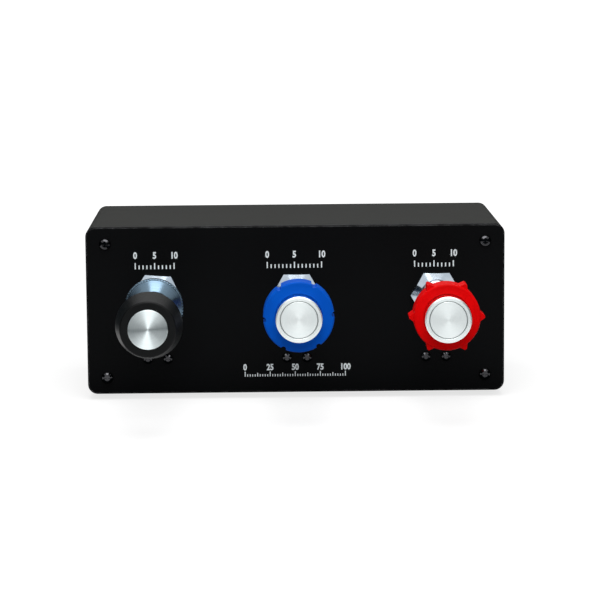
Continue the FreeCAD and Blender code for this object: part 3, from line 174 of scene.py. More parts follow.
floor_paint = bpy.data.materials.new("floor_paint")
floor_paint.use_nodes = True
paint_tree = floor_paint.node_tree
paint_tree.nodes.clear()
floor_place = put(paint_tree, "ShaderNodeTexCoord").outputs["Object"]
distance = put(paint_tree, "ShaderNodeVectorMath", {"operation": "LENGTH"}, Vector=floor_place)
from_middle = distance.outputs["Value"]
glow_level = rescale(paint_tree, from_middle, GLOW_NEAR, GLOW_FAR, GLOW_LEAST, GLOW_MOST)
glow_seen = work_out(paint_tree, "MULTIPLY", glow_level, seen_or_mirrored(paint_tree))
lit_paint = put(paint_tree, "ShaderNodeBsdfDiffuse", Color=grey(FLOOR_PAINT), Roughness=0.0)
own_glow = put(paint_tree, "ShaderNodeEmission", Color=grey(1.0), Strength=glow_seen)
both = put(paint_tree, "ShaderNodeAddShader")
feed(paint_tree, both.inputs[0], lit_paint.outputs[0])
feed(paint_tree, both.inputs[1], own_glow.outputs[0])
put(paint_tree, "ShaderNodeOutputMaterial", Surface=both.outputs[0])
floor_mesh.materials.append(floor_paint)
print("floor radius", FLOOR_RADIUS, "m, sky light", SKY_LIGHT)


# %% [markdown]
# Two soft lamps. A softbox hangs almost over the box: it lights the top and draws the bright streak on
# the friction wheel. The other stands in front, above the camera, and lights the knobs' faces. Both are
# large, as studio lamps for small goods are, so that shadows and highlights have soft edges.

# %% Lamps
BOX_MIDDLE = (0.0, -0.02, 0.05)


def hang_lamp(name, place, size, power):
    """A rectangular soft lamp at a place, in metres, turned towards the box; power is in watts."""
    lamp_data = bpy.data.lights.new(name, "AREA")
    lamp_data.shape = "RECTANGLE"
    lamp_data.size, lamp_data.size_y = size
    lamp_data.energy = power
    lamp = bpy.data.objects.new(name, lamp_data)
    lamp.location = place
    lamp.rotation_euler = (Vector(BOX_MIDDLE) - Vector(place)).to_track_quat("-Z", "Y").to_euler()
    bpy.context.scene.collection.objects.link(lamp)


hang_lamp("overhead_softbox", place=(0.0, -0.25, 1.1), size=(0.6, 0.9), power=7.0)
hang_lamp("front_softbox", place=(0.0, -1.15, 0.87), size=(0.9, 0.6), power=7.0)


# %% [markdown]
# Polished metal shows nothing but its surroundings, and in an all-white studio it would look like white
# paint. So dark blue-grey cloths lie on the table and stand round it, where only mirroring surfaces see
# them. They are tall at the sides, lower behind and beside the camera, and lowest in front. A turned face
# is then bright above and below, with a dark fan to each side. The strip under the box stands for the
# shadow there, which the glowing floor would otherwise lack when metal mirrors it.

# %% Dark cloths
CURTAIN_MIDDLE_Y = -0.13  # the curtains stand in a circle round the knobs
CURTAIN_AWAY = 1.3
CURTAIN_STEP = 4  # degrees from one fold to the next
TABLE_START = 0.29  # the table cloth leaves a round hole for the box and its shadow
CLOTH_LIES = 2 * MM
FRONT_EDGE, SIDE_EDGE, BACK_EDGE = 22, 70, 154  # degrees from straight ahead, alike on both sides
FRONT_HEIGHT, NEAR_SIDE_HEIGHT, SIDE_HEIGHT, BACK_HEIGHT = 0.08, 0.5, 1.5, 0.5
SHADOW_HALF_WIDTH, SHADOW_FRONT, SHADOW_BACK, SHADOW_LIES = 0.12, -0.09, 0.1, 1 * MM
TABLE_AND_SHADOW_DYE, CURTAIN_DYE = (0.02, 0.03, 0.036, 1.0), (0.025, 0.038, 0.048, 1.0)


def hang_cloth(name, dye, strips):
    """Cloth made of strips of corners, in a blue-grey dye. Only rays that mirror off something see it."""
    shape = bmesh.new()
    for strip in strips:
        rows = [[shape.verts.new(corner) for corner in pair] for pair in strip]
        for before, after in zip(rows, rows[1:]):
            shape.faces.new((before[0], after[0], after[1], before[1]))
    mesh = bpy.data.meshes.new(name)
    shape.to_mesh(mesh)
    shape.free()
    weave = bpy.data.materials.new(f"{name}_dye")
    weave.use_nodes = True
    weave.node_tree.nodes.clear()
    dull = put(weave.node_tree, "ShaderNodeBsdfDiffuse", Color=dye)
    put(weave.node_tree, "ShaderNodeOutputMaterial", Surface=dull.outputs[0])
    mesh.materials.append(weave)
    cloth = bpy.data.objects.new(name, mesh)
    cloth.visible_camera = False
    cloth.visible_diffuse = False
    cloth.visible_shadow = False
    bpy.context.scene.collection.objects.link(cloth)
    print(name, "faces:", len(mesh.polygons))


def round_knobs(angle, away, height):
    """A point at an angle from straight ahead, a distance from the knobs and a height, in metres."""
    turn = math.radians(angle)
    return (away * math.sin(turn), CURTAIN_MIDDLE_Y - away * math.cos(turn), height)


def curtain(first, last, height):
    """A strip of corners for a curtain that stands on the table between two angles."""
    angles = range(first, last + 1, CURTAIN_STEP)
    return [(round_knobs(a, CURTAIN_AWAY, CLOTH_LIES), round_knobs(a, CURTAIN_AWAY, height)) for a in angles]


table_ring = [(round_knobs(a, TABLE_START, CLOTH_LIES), round_knobs(a, CURTAIN_AWAY, CLOTH_LIES))
              for a in range(0, 361, CURTAIN_STEP)]
# the strip under the box is a painted shadow: a dark sheet where the box's shade would fall
under_box = [((-SHADOW_HALF_WIDTH, y, SHADOW_LIES), (SHADOW_HALF_WIDTH, y, SHADOW_LIES))
             for y in (SHADOW_FRONT, SHADOW_BACK)]
hang_cloth("table_cloth_and_shadow_strip", TABLE_AND_SHADOW_DYE, (table_ring, under_box))
hang_cloth("curtains", CURTAIN_DYE, (
    curtain(FRONT_EDGE, SIDE_EDGE, NEAR_SIDE_HEIGHT),
    curtain(SIDE_EDGE, BACK_EDGE, SIDE_HEIGHT),
    curtain(BACK_EDGE, 360 - BACK_EDGE, BACK_HEIGHT),
    curtain(360 - BACK_EDGE, 360 - SIDE_EDGE, SIDE_HEIGHT),
    curtain(360 - SIDE_EDGE, 360 - FRONT_EDGE, NEAR_SIDE_HEIGHT),
    curtain(-FRONT_EDGE, FRONT_EDGE, FRONT_HEIGHT),
))


# %% [markdown]
# Several finishes share the same small effects, so each effect is a node group, built once. The first
# is grain: the fine pebbling of powder coat and moulded plastic. Fine noise makes the height, and slow
# noise makes a shade that drifts over the piece, since no real coat is perfectly even.

# %% Shared effects: grain
def new_effect(name, inputs, outputs):
    """An empty node group with named sockets, and its two end nodes."""
    group = bpy.data.node_groups.new(name, "ShaderNodeTree")
    for label, kind, start in inputs:
        socket = group.interface.new_socket(name=label, in_out="INPUT", socket_type=kind)
        socket.default_value = start
    for label, kind in outputs:
        group.interface.new_socket(name=label, in_out="OUTPUT", socket_type=kind)
    return group, group.nodes.new("NodeGroupInput"), group.nodes.new("NodeGroupOutput")


NUMBER = "NodeSocketFloat"
NOISE_LOW, NOISE_HIGH = 0.3, 0.7  # noise seldom goes outside this range
grain, grain_in, grain_out = new_effect(
    "grain",
    [("Grain size", NUMBER, 0.4), ("Drift size", NUMBER, 30.0)],
    [("Height", NUMBER), ("Drift", NUMBER)],
)
grain_spot = put(grain, "ShaderNodeTexCoord").outputs["Object"]
grain_scale = work_out(grain, "DIVIDE", 1.0 / MM, grain_in.outputs["Grain size"])
drift_scale = work_out(grain, "DIVIDE", 1.0 / MM, grain_in.outputs["Drift size"])
fine = put(grain, "ShaderNodeTexNoise", Vector=grain_spot, Scale=grain_scale, Detail=3.0, Roughness=0.6)
slow = put(grain, "ShaderNodeTexNoise", Vector=grain_spot, Scale=drift_scale, Detail=2.0, Roughness=0.5)
feed(grain, grain_out.inputs["Height"], fine.outputs["Fac"])
feed(grain, grain_out.inputs["Drift"], rescale(grain, slow.outputs["Fac"], NOISE_LOW, NOISE_HIGH))
print("effect:", grain.name, [s.name for s in grain.interface.items_tree])


# %% [markdown]
# Corners that hands and tools touch turn paler, or brighter on metal. The Bevel node rounds the normal
# near an edge, so where it differs from the plain normal there is an edge. Noise breaks the line up,
# because wear is never even. Wear could be painted on by hand, but this way it follows the shape.

# %% Shared effects: edge wear
edge_wear, wear_in, wear_out = new_effect(
    "edge_wear",
    [("Width", NUMBER, 0.4), ("Patch size", NUMBER, 3.0), ("Amount", NUMBER, 0.5)],
    [("Mask", NUMBER)],
)
wear_width = work_out(edge_wear, "MULTIPLY", wear_in.outputs["Width"], MM)
rounded = put(edge_wear, "ShaderNodeBevel", {"samples": 4}, Radius=wear_width)
plain = put(edge_wear, "ShaderNodeNewGeometry")
agreement = put(edge_wear, "ShaderNodeVectorMath", {"operation": "DOT_PRODUCT"})
feed(edge_wear, agreement.inputs[0], rounded.outputs["Normal"])
feed(edge_wear, agreement.inputs[1], plain.outputs["Normal"])
FLAT_ENOUGH, SURELY_EDGE = 0.995, 0.85  # how well the two normals agree, as a cosine
edge = rescale(edge_wear, agreement.outputs["Value"], FLAT_ENOUGH, SURELY_EDGE)
wear_spot = put(edge_wear, "ShaderNodeTexCoord").outputs["Object"]
patch_scale = work_out(edge_wear, "DIVIDE", 1.0 / MM, wear_in.outputs["Patch size"])
patches = put(edge_wear, "ShaderNodeTexNoise", Vector=wear_spot, Scale=patch_scale,
              Detail=4.0, Roughness=0.65)
BARE_OF_WEAR, FULLY_WORN = 0.38, 0.62  # values of the noise between which a patch fades in
in_patch = rescale(edge_wear, patches.outputs["Fac"], BARE_OF_WEAR, FULLY_WORN)
patchy = work_out(edge_wear, "MULTIPLY", edge, in_patch)
feed(edge_wear, wear_out.inputs["Mask"], work_out(edge_wear, "MULTIPLY", patchy, wear_in.outputs["Amount"]))
print("effect:", edge_wear.name)


# %% [markdown]
# A lathe leaves rings. The next effect measures how far a point is from a control's axis, which runs
# front to back, and reads noise along that distance, so every ring has its own height and its own tone.
# A second reading along the axis gives the same marks to the outside of a turned cylinder. Two masks come
# with them: one tells an end face from a side, and the other marks a fine groove cut into the end face,
# where the turned finish paints shade.

# %% Shared effects: lathe rings
lathe_rings, rings_in, rings_out = new_effect(
    "lathe_rings",
    [("Axis X", NUMBER, 0.0), ("Axis Z", NUMBER, 0.0),
     ("Ring width", NUMBER, 0.25), ("Groove radius", NUMBER, 0.0)],
    [("Height", NUMBER), ("Tone", NUMBER), ("End face", NUMBER), ("Groove", NUMBER)],
)
rings_spot = put(lathe_rings, "ShaderNodeTexCoord")
spot_parts = put(lathe_rings, "ShaderNodeSeparateXYZ", Vector=rings_spot.outputs["Object"])
aside = work_out(lathe_rings, "SUBTRACT", spot_parts.outputs["X"], rings_in.outputs["Axis X"])
above = work_out(lathe_rings, "SUBTRACT", spot_parts.outputs["Z"], rings_in.outputs["Axis Z"])
aside_squared = work_out(lathe_rings, "MULTIPLY", aside, aside)
above_squared = work_out(lathe_rings, "MULTIPLY", above, above)
radius_out = work_out(lathe_rings, "SQRT", work_out(lathe_rings, "ADD", aside_squared, above_squared))
ring_place = put(lathe_rings, "ShaderNodeCombineXYZ", X=radius_out, Y=spot_parts.outputs["Y"], Z=0.0)
ring_line = ring_place.outputs[0]
ring_scale = work_out(lathe_rings, "DIVIDE", 1.0 / MM, rings_in.outputs["Ring width"])
cuts = put(lathe_rings, "ShaderNodeTexNoise", Vector=ring_line, Scale=ring_scale, Detail=2.0, Roughness=0.7)
BAND_SHARE = 0.22  # the tone changes in bands, each a few rings wide
tone_scale = work_out(lathe_rings, "MULTIPLY", ring_scale, BAND_SHARE)
tones = put(lathe_rings, "ShaderNodeTexNoise", Vector=ring_line, Scale=tone_scale, Detail=1.0)
feed(lathe_rings, rings_out.inputs["Height"], cuts.outputs["Fac"])
tone = rescale(lathe_rings, tones.outputs["Fac"], NOISE_LOW, NOISE_HIGH)
feed(lathe_rings, rings_out.inputs["Tone"], tone)

SIDE_FACING, END_FACING = 0.2, 0.5  # how squarely a face looks along the axis, as a cosine
facing = put(lathe_rings, "ShaderNodeSeparateXYZ", Vector=rings_spot.outputs["Normal"])
along = work_out(lathe_rings, "ABSOLUTE", facing.outputs["Y"])
end_face = rescale(lathe_rings, along, SIDE_FACING, END_FACING)
feed(lathe_rings, rings_out.inputs["End face"], end_face)

GROOVE_REACH, GROOVE_FLOOR = 0.3 * MM, 0.12 * MM  # distances from the groove's middle
groove_middle = work_out(lathe_rings, "MULTIPLY", rings_in.outputs["Groove radius"], MM)
from_groove = work_out(lathe_rings, "ABSOLUTE", work_out(lathe_rings, "SUBTRACT", radius_out, groove_middle))
near_groove = rescale(lathe_rings, from_groove, GROOVE_REACH, GROOVE_FLOOR)
feed(lathe_rings, rings_out.inputs["Groove"], work_out(lathe_rings, "MULTIPLY", near_groove, end_face))
print("effect:", lathe_rings.name)


# %% [markdown]
# A finish starts as an empty material with a Principled shader. These helpers make it, place an effect
# in it with its own values, give it a bumpy skin, and work out a paler or darker colour.

# %% Starting a finish
def new_finish(name):
    """A material with a Principled shader joined to its output."""
    finish = bpy.data.materials.new(name)
    finish.use_nodes = True
    tree = finish.node_tree
    tree.nodes.clear()
    shader = put(tree, "ShaderNodeBsdfPrincipled")
    put(tree, "ShaderNodeOutputMaterial", Surface=shader.outputs[0])
    return finish, tree, shader


def use_effect(tree, effect, **values):
    """A shared effect placed in a material, with its values; underscores stand for spaces."""
    node = put(tree, "ShaderNodeGroup", {"node_tree": effect})
    for name, content in values.items():
        feed(tree, node.inputs[name.replace("_", " ")], content)
    return node


def roughen(tree, shader, height, depth):
    """Bump on a shader from a height; depth is in millimetres."""
    bump = put(tree, "ShaderNodeBump", Strength=1.0, Distance=depth * MM, Height=height)
    feed(tree, shader.inputs["Normal"], bump.outputs["Normal"])


def shade(colour, factor, more=0.0):
    """A colour made darker or paler by a factor, with a little added, and never over one."""
    return tuple(min(1.0, factor * part + more) for part in colour[:3]) + (1.0,)


finishes = {}
print("effects to draw on:", [group.name for group in bpy.data.node_groups])


# %% [markdown]
# The box is powder coated: a matt, nearly black coat with a fine pebble. The front panel has a smoother
# satin black. Both are baked paint over metal. On the box a worn corner is only a little paler. On the
# panel the edges are painted a light grey, a painted highlight that shows as a faint line round the front.

# %% Finish: paint on the box and the panel
def painted(name, colour, wear_and_highlight_colour, roughness, pebble, depth, gloss):
    """Baked paint with a pebbled skin, drifting tone and paler edges: wear on the box, a painted highlight on
    the panel.
    """
    finish, tree, shader = new_finish(name)
    skin = use_effect(tree, grain, Grain_size=pebble, Drift_size=60.0)
    wear = use_effect(tree, edge_wear, Width=0.5, Patch_size=4.0, Amount=0.35)
    body = blend_colours(tree, skin.outputs["Drift"], colour, shade(colour, 1.18))
    uneven = rescale(tree, skin.outputs["Drift"], 0.0, 1.0, roughness, roughness + 0.06)
    # paler edges: a little wear on the box, and on the panel a painted highlight along the bevel
    feed(tree, shader.inputs["Base Color"], blend_colours(tree, wear.outputs["Mask"], body, wear_and_highlight_colour))
    feed(tree, shader.inputs["Roughness"], uneven)
    shader.inputs["Specular IOR Level"].default_value = gloss
    roughen(tree, shader, skin.outputs["Height"], depth)
    return finish


finishes["enclosure_paint"] = painted(
    "enclosure_paint", (0.0245, 0.0252, 0.0235, 1), (0.075, 0.075, 0.075, 1),
    roughness=0.7, pebble=0.45, depth=0.03, gloss=0.1)
# the panel's light grey edge colour is a painted highlight along its bevel
finishes["panel_paint"] = painted(
    "panel_paint", (0.0017, 0.0019, 0.0022, 1), (0.5, 0.51, 0.53, 1),
    roughness=0.45, pebble=0.25, depth=0.01, gloss=0.05)
print("paint finishes:", list(finishes))


# %% [markdown]
# Three plastics make the knobs. Each is one coloured plastic moulded in a spark-eroded tool, which gives
# the faint grain, and hands polish its high spots. The black one is coarser and glossier than the coloured
# ones. The feet, the lead sleeves, the socket's insert and the board's parts are moulded the same way.

# %% Finish: moulded plastics and rubber
def moulded(name, colour, deep_colour, roughness, pebble, depth, gloss=0.5):
    """Coloured plastic with moulded grain, a slow drift in tone and smoother, paler edges."""
    finish, tree, shader = new_finish(name)
    skin = use_effect(tree, grain, Grain_size=pebble, Drift_size=14.0)
    wear = use_effect(tree, edge_wear, Width=0.6, Patch_size=3.0, Amount=0.4)
    body = blend_colours(tree, skin.outputs["Drift"], deep_colour, colour)
    rubbed = blend_colours(tree, wear.outputs["Mask"], body, shade(colour, 1.25, 0.01))
    feed(tree, shader.inputs["Base Color"], rubbed)
    smoother = work_out(tree, "MULTIPLY", wear.outputs["Mask"], 0.15)
    dull = rescale(tree, skin.outputs["Height"], NOISE_LOW, NOISE_HIGH, roughness - 0.04, roughness + 0.06)
    feed(tree, shader.inputs["Roughness"], work_out(tree, "SUBTRACT", dull, smoother))
    shader.inputs["Specular IOR Level"].default_value = gloss
    roughen(tree, shader, skin.outputs["Height"], depth)
    return finish


finishes["black_knob"] = moulded(
    "black_knob", (0.004, 0.0046, 0.005, 1), (0.0025, 0.003, 0.0032, 1),
    roughness=0.42, pebble=0.5, depth=0.05, gloss=0.13)
finishes["blue_knob"] = moulded(
    "blue_knob", (0.0002, 0.098, 0.58, 1), (0.0001, 0.078, 0.50, 1),
    roughness=0.45, pebble=0.35, depth=0.02, gloss=0.05)
finishes["red_knob"] = moulded(
    "red_knob", (0.77, 0.0002, 0.001, 1), (0.64, 0.0001, 0.0008, 1),
    roughness=0.45, pebble=0.35, depth=0.02, gloss=0.05)
finishes["foot_rubber"] = moulded(
    "foot_rubber", (0.02, 0.02, 0.02, 1), (0.012, 0.012, 0.012, 1),
    roughness=0.75, pebble=0.3, depth=0.04, gloss=0.3)
finishes["black_plastic"] = moulded(
    "black_plastic", (0.015, 0.015, 0.016, 1), (0.01, 0.01, 0.011, 1),
    roughness=0.5, pebble=0.3, depth=0.02)
finishes["white_plastic"] = moulded(
    "white_plastic", (0.72, 0.71, 0.67, 1), (0.62, 0.61, 0.57, 1),
    roughness=0.45, pebble=0.3, depth=0.02)
finishes["lead_sleeve"] = moulded(
    "lead_sleeve", (0.06, 0.06, 0.065, 1), (0.04, 0.04, 0.045, 1),
    roughness=0.55, pebble=0.5, depth=0.03)
finishes["chip_epoxy"] = moulded(
    "chip_epoxy", (0.02, 0.02, 0.022, 1), (0.014, 0.014, 0.015, 1),
    roughness=0.6, pebble=0.2, depth=0.02)
print("finishes so far:", len(finishes))


# %% [markdown]
# Plated and bare metals differ mostly in tone and in how far they blur what they mirror. All of them have
# drifting roughness from handling, and a fine skin from pickling, rolling or blasting. Each could be
# laid out by hand, but one function with the values that differ is shorter and keeps them alike.

# %% Finish: plated and bare metals
def metal(name, colour, dark_colour, roughness, skin_size, depth):
    """Metal with a clouded tone, uneven polish and brighter edges."""
    finish, tree, shader = new_finish(name)
    skin = use_effect(tree, grain, Grain_size=skin_size, Drift_size=6.0)
    wear = use_effect(tree, edge_wear, Width=0.3, Patch_size=2.0, Amount=0.5)
    body = blend_colours(tree, skin.outputs["Drift"], dark_colour, colour)
    rubbed = blend_colours(tree, wear.outputs["Mask"], body, shade(colour, 1.1, 0.03))
    feed(tree, shader.inputs["Base Color"], rubbed)
    uneven = rescale(tree, skin.outputs["Drift"], 0.0, 1.0, roughness + 0.05, roughness - 0.03)
    feed(tree, shader.inputs["Roughness"], uneven)
    shader.inputs["Metallic"].default_value = 1.0
    roughen(tree, shader, skin.outputs["Height"], depth)
    return finish


finishes["zinc_nut"] = metal(
    "zinc_nut", (0.52, 0.59, 0.66, 1), (0.38, 0.45, 0.53, 1),
    roughness=0.13, skin_size=0.8, depth=0.002)
finishes["tinned_steel"] = metal(
    "tinned_steel", (0.70, 0.70, 0.68, 1), (0.58, 0.58, 0.57, 1),
    roughness=0.3, skin_size=0.5, depth=0.005)
finishes["plated_sheet"] = metal(
    "plated_sheet", (0.66, 0.67, 0.66, 1), (0.54, 0.56, 0.57, 1),
    roughness=0.35, skin_size=0.6, depth=0.006)
finishes["alloy_block"] = metal(
    "alloy_block", (0.68, 0.69, 0.70, 1), (0.58, 0.59, 0.61, 1),
    roughness=0.34, skin_size=0.3, depth=0.006)
finishes["brass_post"] = metal(
    "brass_post", (0.78, 0.57, 0.25, 1), (0.66, 0.46, 0.19, 1),
    roughness=0.28, skin_size=0.3, depth=0.004)
finishes["spring_steel"] = metal(
    "spring_steel", (0.50, 0.50, 0.51, 1), (0.40, 0.40, 0.42, 1),
    roughness=0.32, skin_size=0.3, depth=0.004)
finishes["black_steel"] = metal(
    "black_steel", (0.06, 0.06, 0.064, 1), (0.035, 0.035, 0.038, 1),
    roughness=0.08, skin_size=0.25, depth=0.002)
print("finishes so far:", len(finishes))


# %% [markdown]
# The buttons, the disc in the throttle knob, the friction wheel, the shafts and the barrels come off a
# lathe. Their rings stretch every highlight across the grooves, so a face shows bright and dark fans that
# meet in the middle. Each button also has one fine groove near its rim, darkened in colour as painted shade.
# The anisotropic setting of the shader stretches a highlight along the tangent. The tangent runs round the
# axis, along the grooves, so a quarter turn sets the stretch across them.

# %% Finish: turned metals, one for each control's axis
AXIS_X = {}
for control in ("throttle", "prop", "mixture"):
    shaft_low, shaft_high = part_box(f"{control}_shaft")
    AXIS_X[control] = (shaft_low.x + shaft_high.x) / 2
AXIS_Z = (shaft_low.z + shaft_high.z) / 2
print("axes, mm:", {name: round(x / MM, 2) for name, x in AXIS_X.items()}, round(AXIS_Z / MM, 2))

QUARTER_TURN = 0.25
NO_GROOVE = -1.0


def turned(name, control, colour, dark_colour, roughness, side_roughness, ring, depth, stretch,
           groove=NO_GROOVE):
    """Lathe-turned metal, with rings about one control's axis; its side can be smoother than its end face."""
    finish, tree, shader = new_finish(f"{name}_{control}")
    rings = use_effect(tree, lathe_rings, Axis_X=AXIS_X[control], Axis_Z=AXIS_Z,
                       Ring_width=ring, Groove_radius=groove)
    wear = use_effect(tree, edge_wear, Width=0.25, Patch_size=1.5, Amount=0.4)
    body = blend_colours(tree, rings.outputs["Tone"], dark_colour, colour)
    rubbed = blend_colours(tree, wear.outputs["Mask"], body, shade(colour, 1.06, 0.02))
    # painted shade: the fine groove on each button is darkened in colour, as if in its own shadow
    painted_groove_shade = shade(colour, 0.45)
    feed(tree, shader.inputs["Base Color"], blend_colours(tree, rings.outputs["Groove"], rubbed, painted_groove_shade))
    base_level = rescale(tree, rings.outputs["End face"], 0.0, 1.0, side_roughness, roughness)
    uneven = rescale(tree, rings.outputs["Tone"], 0.0, 1.0, 0.04, -0.03)
    feed(tree, shader.inputs["Roughness"], work_out(tree, "ADD", base_level, uneven))
    shader.inputs["Metallic"].default_value = 1.0
    shader.inputs["Anisotropic"].default_value = stretch
    shader.inputs["Anisotropic Rotation"].default_value = QUARTER_TURN
    tangent = put(tree, "ShaderNodeTangent", {"direction_type": "RADIAL", "axis": "Y"})
    feed(tree, shader.inputs["Tangent"], tangent.outputs[0])
    roughen(tree, shader, rings.outputs["Height"], depth)
    return finish


BUTTON_GROOVE = 9.1
for control in AXIS_X:
    finishes[f"turned_steel_{control}"] = turned(
        "turned_steel", control, (0.66, 0.67, 0.69, 1), (0.52, 0.54, 0.57, 1),
        roughness=0.24, side_roughness=0.2, ring=0.3, depth=0.004, stretch=0.6)
    finishes[f"shaft_steel_{control}"] = turned(
        "shaft_steel", control, (0.68, 0.69, 0.70, 1), (0.60, 0.61, 0.63, 1),
        roughness=0.18, side_roughness=0.14, ring=0.12, depth=0.002, stretch=0.5)
for control in ("prop", "mixture"):
    finishes[f"spun_aluminium_{control}"] = turned(
        "spun_aluminium", control, (0.88, 0.93, 0.93, 1), (0.82, 0.88, 0.88, 1),
        roughness=0.46, side_roughness=0.1, ring=0.18, depth=0.002, stretch=0.3, groove=BUTTON_GROOVE)
finishes["spun_aluminium_throttle"] = turned(
    "spun_aluminium", "throttle", (0.72, 0.79, 0.80, 1), (0.66, 0.73, 0.74, 1),
    roughness=0.4, side_roughness=0.1, ring=0.18, depth=0.002, stretch=1.0)
finishes["zinc_wheel"] = turned(
    "zinc_wheel", "throttle", (0.15, 0.22, 0.28, 1), (0.12, 0.18, 0.24, 1),
    roughness=0.25, side_roughness=0.08, ring=0.35, depth=0.001, stretch=0.5)
print("finishes so far:", len(finishes))


# %% [markdown]
# Inside the closed box sit the controller board and the potentiometer tracks. Nobody sees them unless the
# box is opened, but they are real parts: green solder mask over copper runs, and a dark printed track.
# The runs could be drawn one by one, but a brick pattern gives much the same look in one node.

# %% Finish: circuit boards
def board_finish(name, mask_colour, run_colour, pitch):
    """Solder mask with the runs of copper under it, laid out on a square pitch in millimetres."""
    finish, tree, shader = new_finish(name)
    spot = put(tree, "ShaderNodeTexCoord").outputs["Object"]
    cells = put(tree, "ShaderNodeTexBrick", {"offset": 0.5}, Vector=spot, Scale=1.0 / (pitch * MM),
                Mortar_Size=0.06, Brick_Width=4.0, Row_Height=0.7)
    skin = use_effect(tree, grain, Grain_size=0.6, Drift_size=9.0)
    runs = blend_colours(tree, cells.outputs["Fac"], mask_colour, run_colour)
    cloud = work_out(tree, "MULTIPLY", skin.outputs["Drift"], 0.4)
    feed(tree, shader.inputs["Base Color"], blend_colours(tree, cloud, runs, shade(mask_colour, 0.8)))
    feed(tree, shader.inputs["Roughness"], rescale(tree, skin.outputs["Drift"], 0.0, 1.0, 0.28, 0.4))
    roughen(tree, shader, cells.outputs["Fac"], 0.02)
    return finish


finishes["circuit_board"] = board_finish(
    "circuit_board", (0.006, 0.10, 0.035, 1), (0.02, 0.20, 0.07, 1), pitch=1.27)
finishes["track_board"] = board_finish(
    "track_board", (0.10, 0.055, 0.02, 1), (0.02, 0.02, 0.02, 1), pitch=2.0)
print("finishes in all:", len(finishes))


# %% [markdown]
# Each CAD piece takes the finish its maker's list names. Turned pieces take the one for their own axis.
# One loop does it for all, so a piece that joins the assembly later is dressed as well.

# %% Finishes onto the CAD pieces
slot_of = {row["node"]: row["material_slot"] for row in frame["record"]["subparts"]}


def finish_for(piece_name, slot):
    """The finish of a piece: its slot's, or the one with rings about its own control's axis."""
    if slot in finishes:
        return finishes[slot]
    control = piece_name.split("_")[0]
    return finishes[f"{slot}_{control}"]


for name, piece in frame["nodes"].items():
    finish = finish_for(name, slot_of[name])
    for number in range(len(piece.data.materials)):
        piece.data.materials[number] = finish
print("pieces finished:", len(slot_of))


# %% [markdown]
# Two kinds of turned piece carry cuts that a plain turned solid lacks: the threads on the three barrels,
# and the diamond knurl of the friction wheel. A lathe makes them from one outline, so the helper sweeps an
# outline round a control's axis, and a cutter function lowers the radius where the tool has cut. Bump in
# the finish would be quicker, but it would leave the outline of the crests and of the rim smooth.

# %% Turning a piece
FULL_TURN = 2 * math.pi
SHARP_ANGLE = math.radians(30)
panel_low, panel_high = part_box("front_panel")
PANEL_FACE_Y = panel_low.y
print("panel face at y, mm:", round(PANEL_FACE_Y / MM, 1))


def turn_piece(node, body, outline, columns, cutter):
    """A piece swept from radius and forward distance in millimetres, in place of a CAD node."""
    control = node.split("_")[0]
    shape = bmesh.new()
    rings = []
    for radius, forward in outline:
        ring = []
        for column in range(columns):
            angle = FULL_TURN * column / columns
            cut_radius = cutter(radius, forward, angle) * MM
            x = AXIS_X[control] + cut_radius * math.cos(angle)
            z = AXIS_Z + cut_radius * math.sin(angle)
            ring.append(shape.verts.new((x, PANEL_FACE_Y - forward * MM, z)))
        rings.append(ring)
    for ring, after in zip(rings, rings[1:] + rings[:1]):
        for k in range(columns):
            beside = (k + 1) % columns
            shape.faces.new((ring[k], after[k], after[beside], ring[beside]))
    bmesh.ops.recalc_face_normals(shape, faces=shape.faces)
    mesh = bpy.data.meshes.new(f"{node}_cut")
    shape.to_mesh(mesh)
    shape.free()
    mesh.polygons.foreach_set("use_smooth", [True] * len(mesh.polygons))
    mesh.set_sharp_from_angle(angle=SHARP_ANGLE)
    mesh.materials.append(finish_for(node, slot_of[node]))
    piece = bpy.data.objects.new(f"{node}_cut", mesh)
    bpy.context.scene.collection.objects.link(piece)
    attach(piece, body)
    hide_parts(node)
    print(piece.name, "faces:", len(mesh.polygons))


def steps(first, last, count):
    """Evenly spaced values, both ends included."""
    return [first + (last - first) * k / count for k in range(count + 1)]


# %% [markdown]
# Each barrel is a bushing: a plain tail, a shoulder that sits behind the panel, a thread that the panel nut
# runs on, and a plain nose that guides the shaft. The thread is a true helix of 1.5 mm pitch with flat
# crests, and it fades out at its front end as a chamfered thread does. The throttle's nose is longer and
# thinner, because the friction wheel runs on it.

# %% Cut threads on the barrels
BARREL_BORE, TAIL_RADIUS, SHOULDER_RADIUS = 4.8, 7.0, 10.5
TAIL_END, SHOULDER_REAR, SHOULDER_FRONT = -22.0, -7.0, -4.0
THREAD_CREST, THREAD_ROOT, THREAD_PITCH, THREAD_END = 7.95, 7.1, 1.5, 11.0
THREAD_FLAT, THREAD_SLOPE = 0.15, 0.7  # shares of half a turn of the thread: its root, and its flank
FADE_LENGTH = 0.8
NOSE_BEVEL = 0.8
BARREL_COLUMNS, THREAD_ROWS = 64, 80


def cut_thread(radius, forward, angle):
    """The thread's radius at a place on the barrel; elsewhere the outline's own."""
    if radius != THREAD_CREST:
        return radius
    turns = (forward / THREAD_PITCH + angle / FULL_TURN) % 1.0
    from_root = 1.0 - 2.0 * abs(turns - 0.5)
    flank = min(1.0, max(0.0, (from_root - THREAD_FLAT) / THREAD_SLOPE))
    run_out = min(1.0, max(0.0, (THREAD_END - forward) / FADE_LENGTH))
    return THREAD_ROOT + (THREAD_CREST - THREAD_ROOT) * flank * run_out


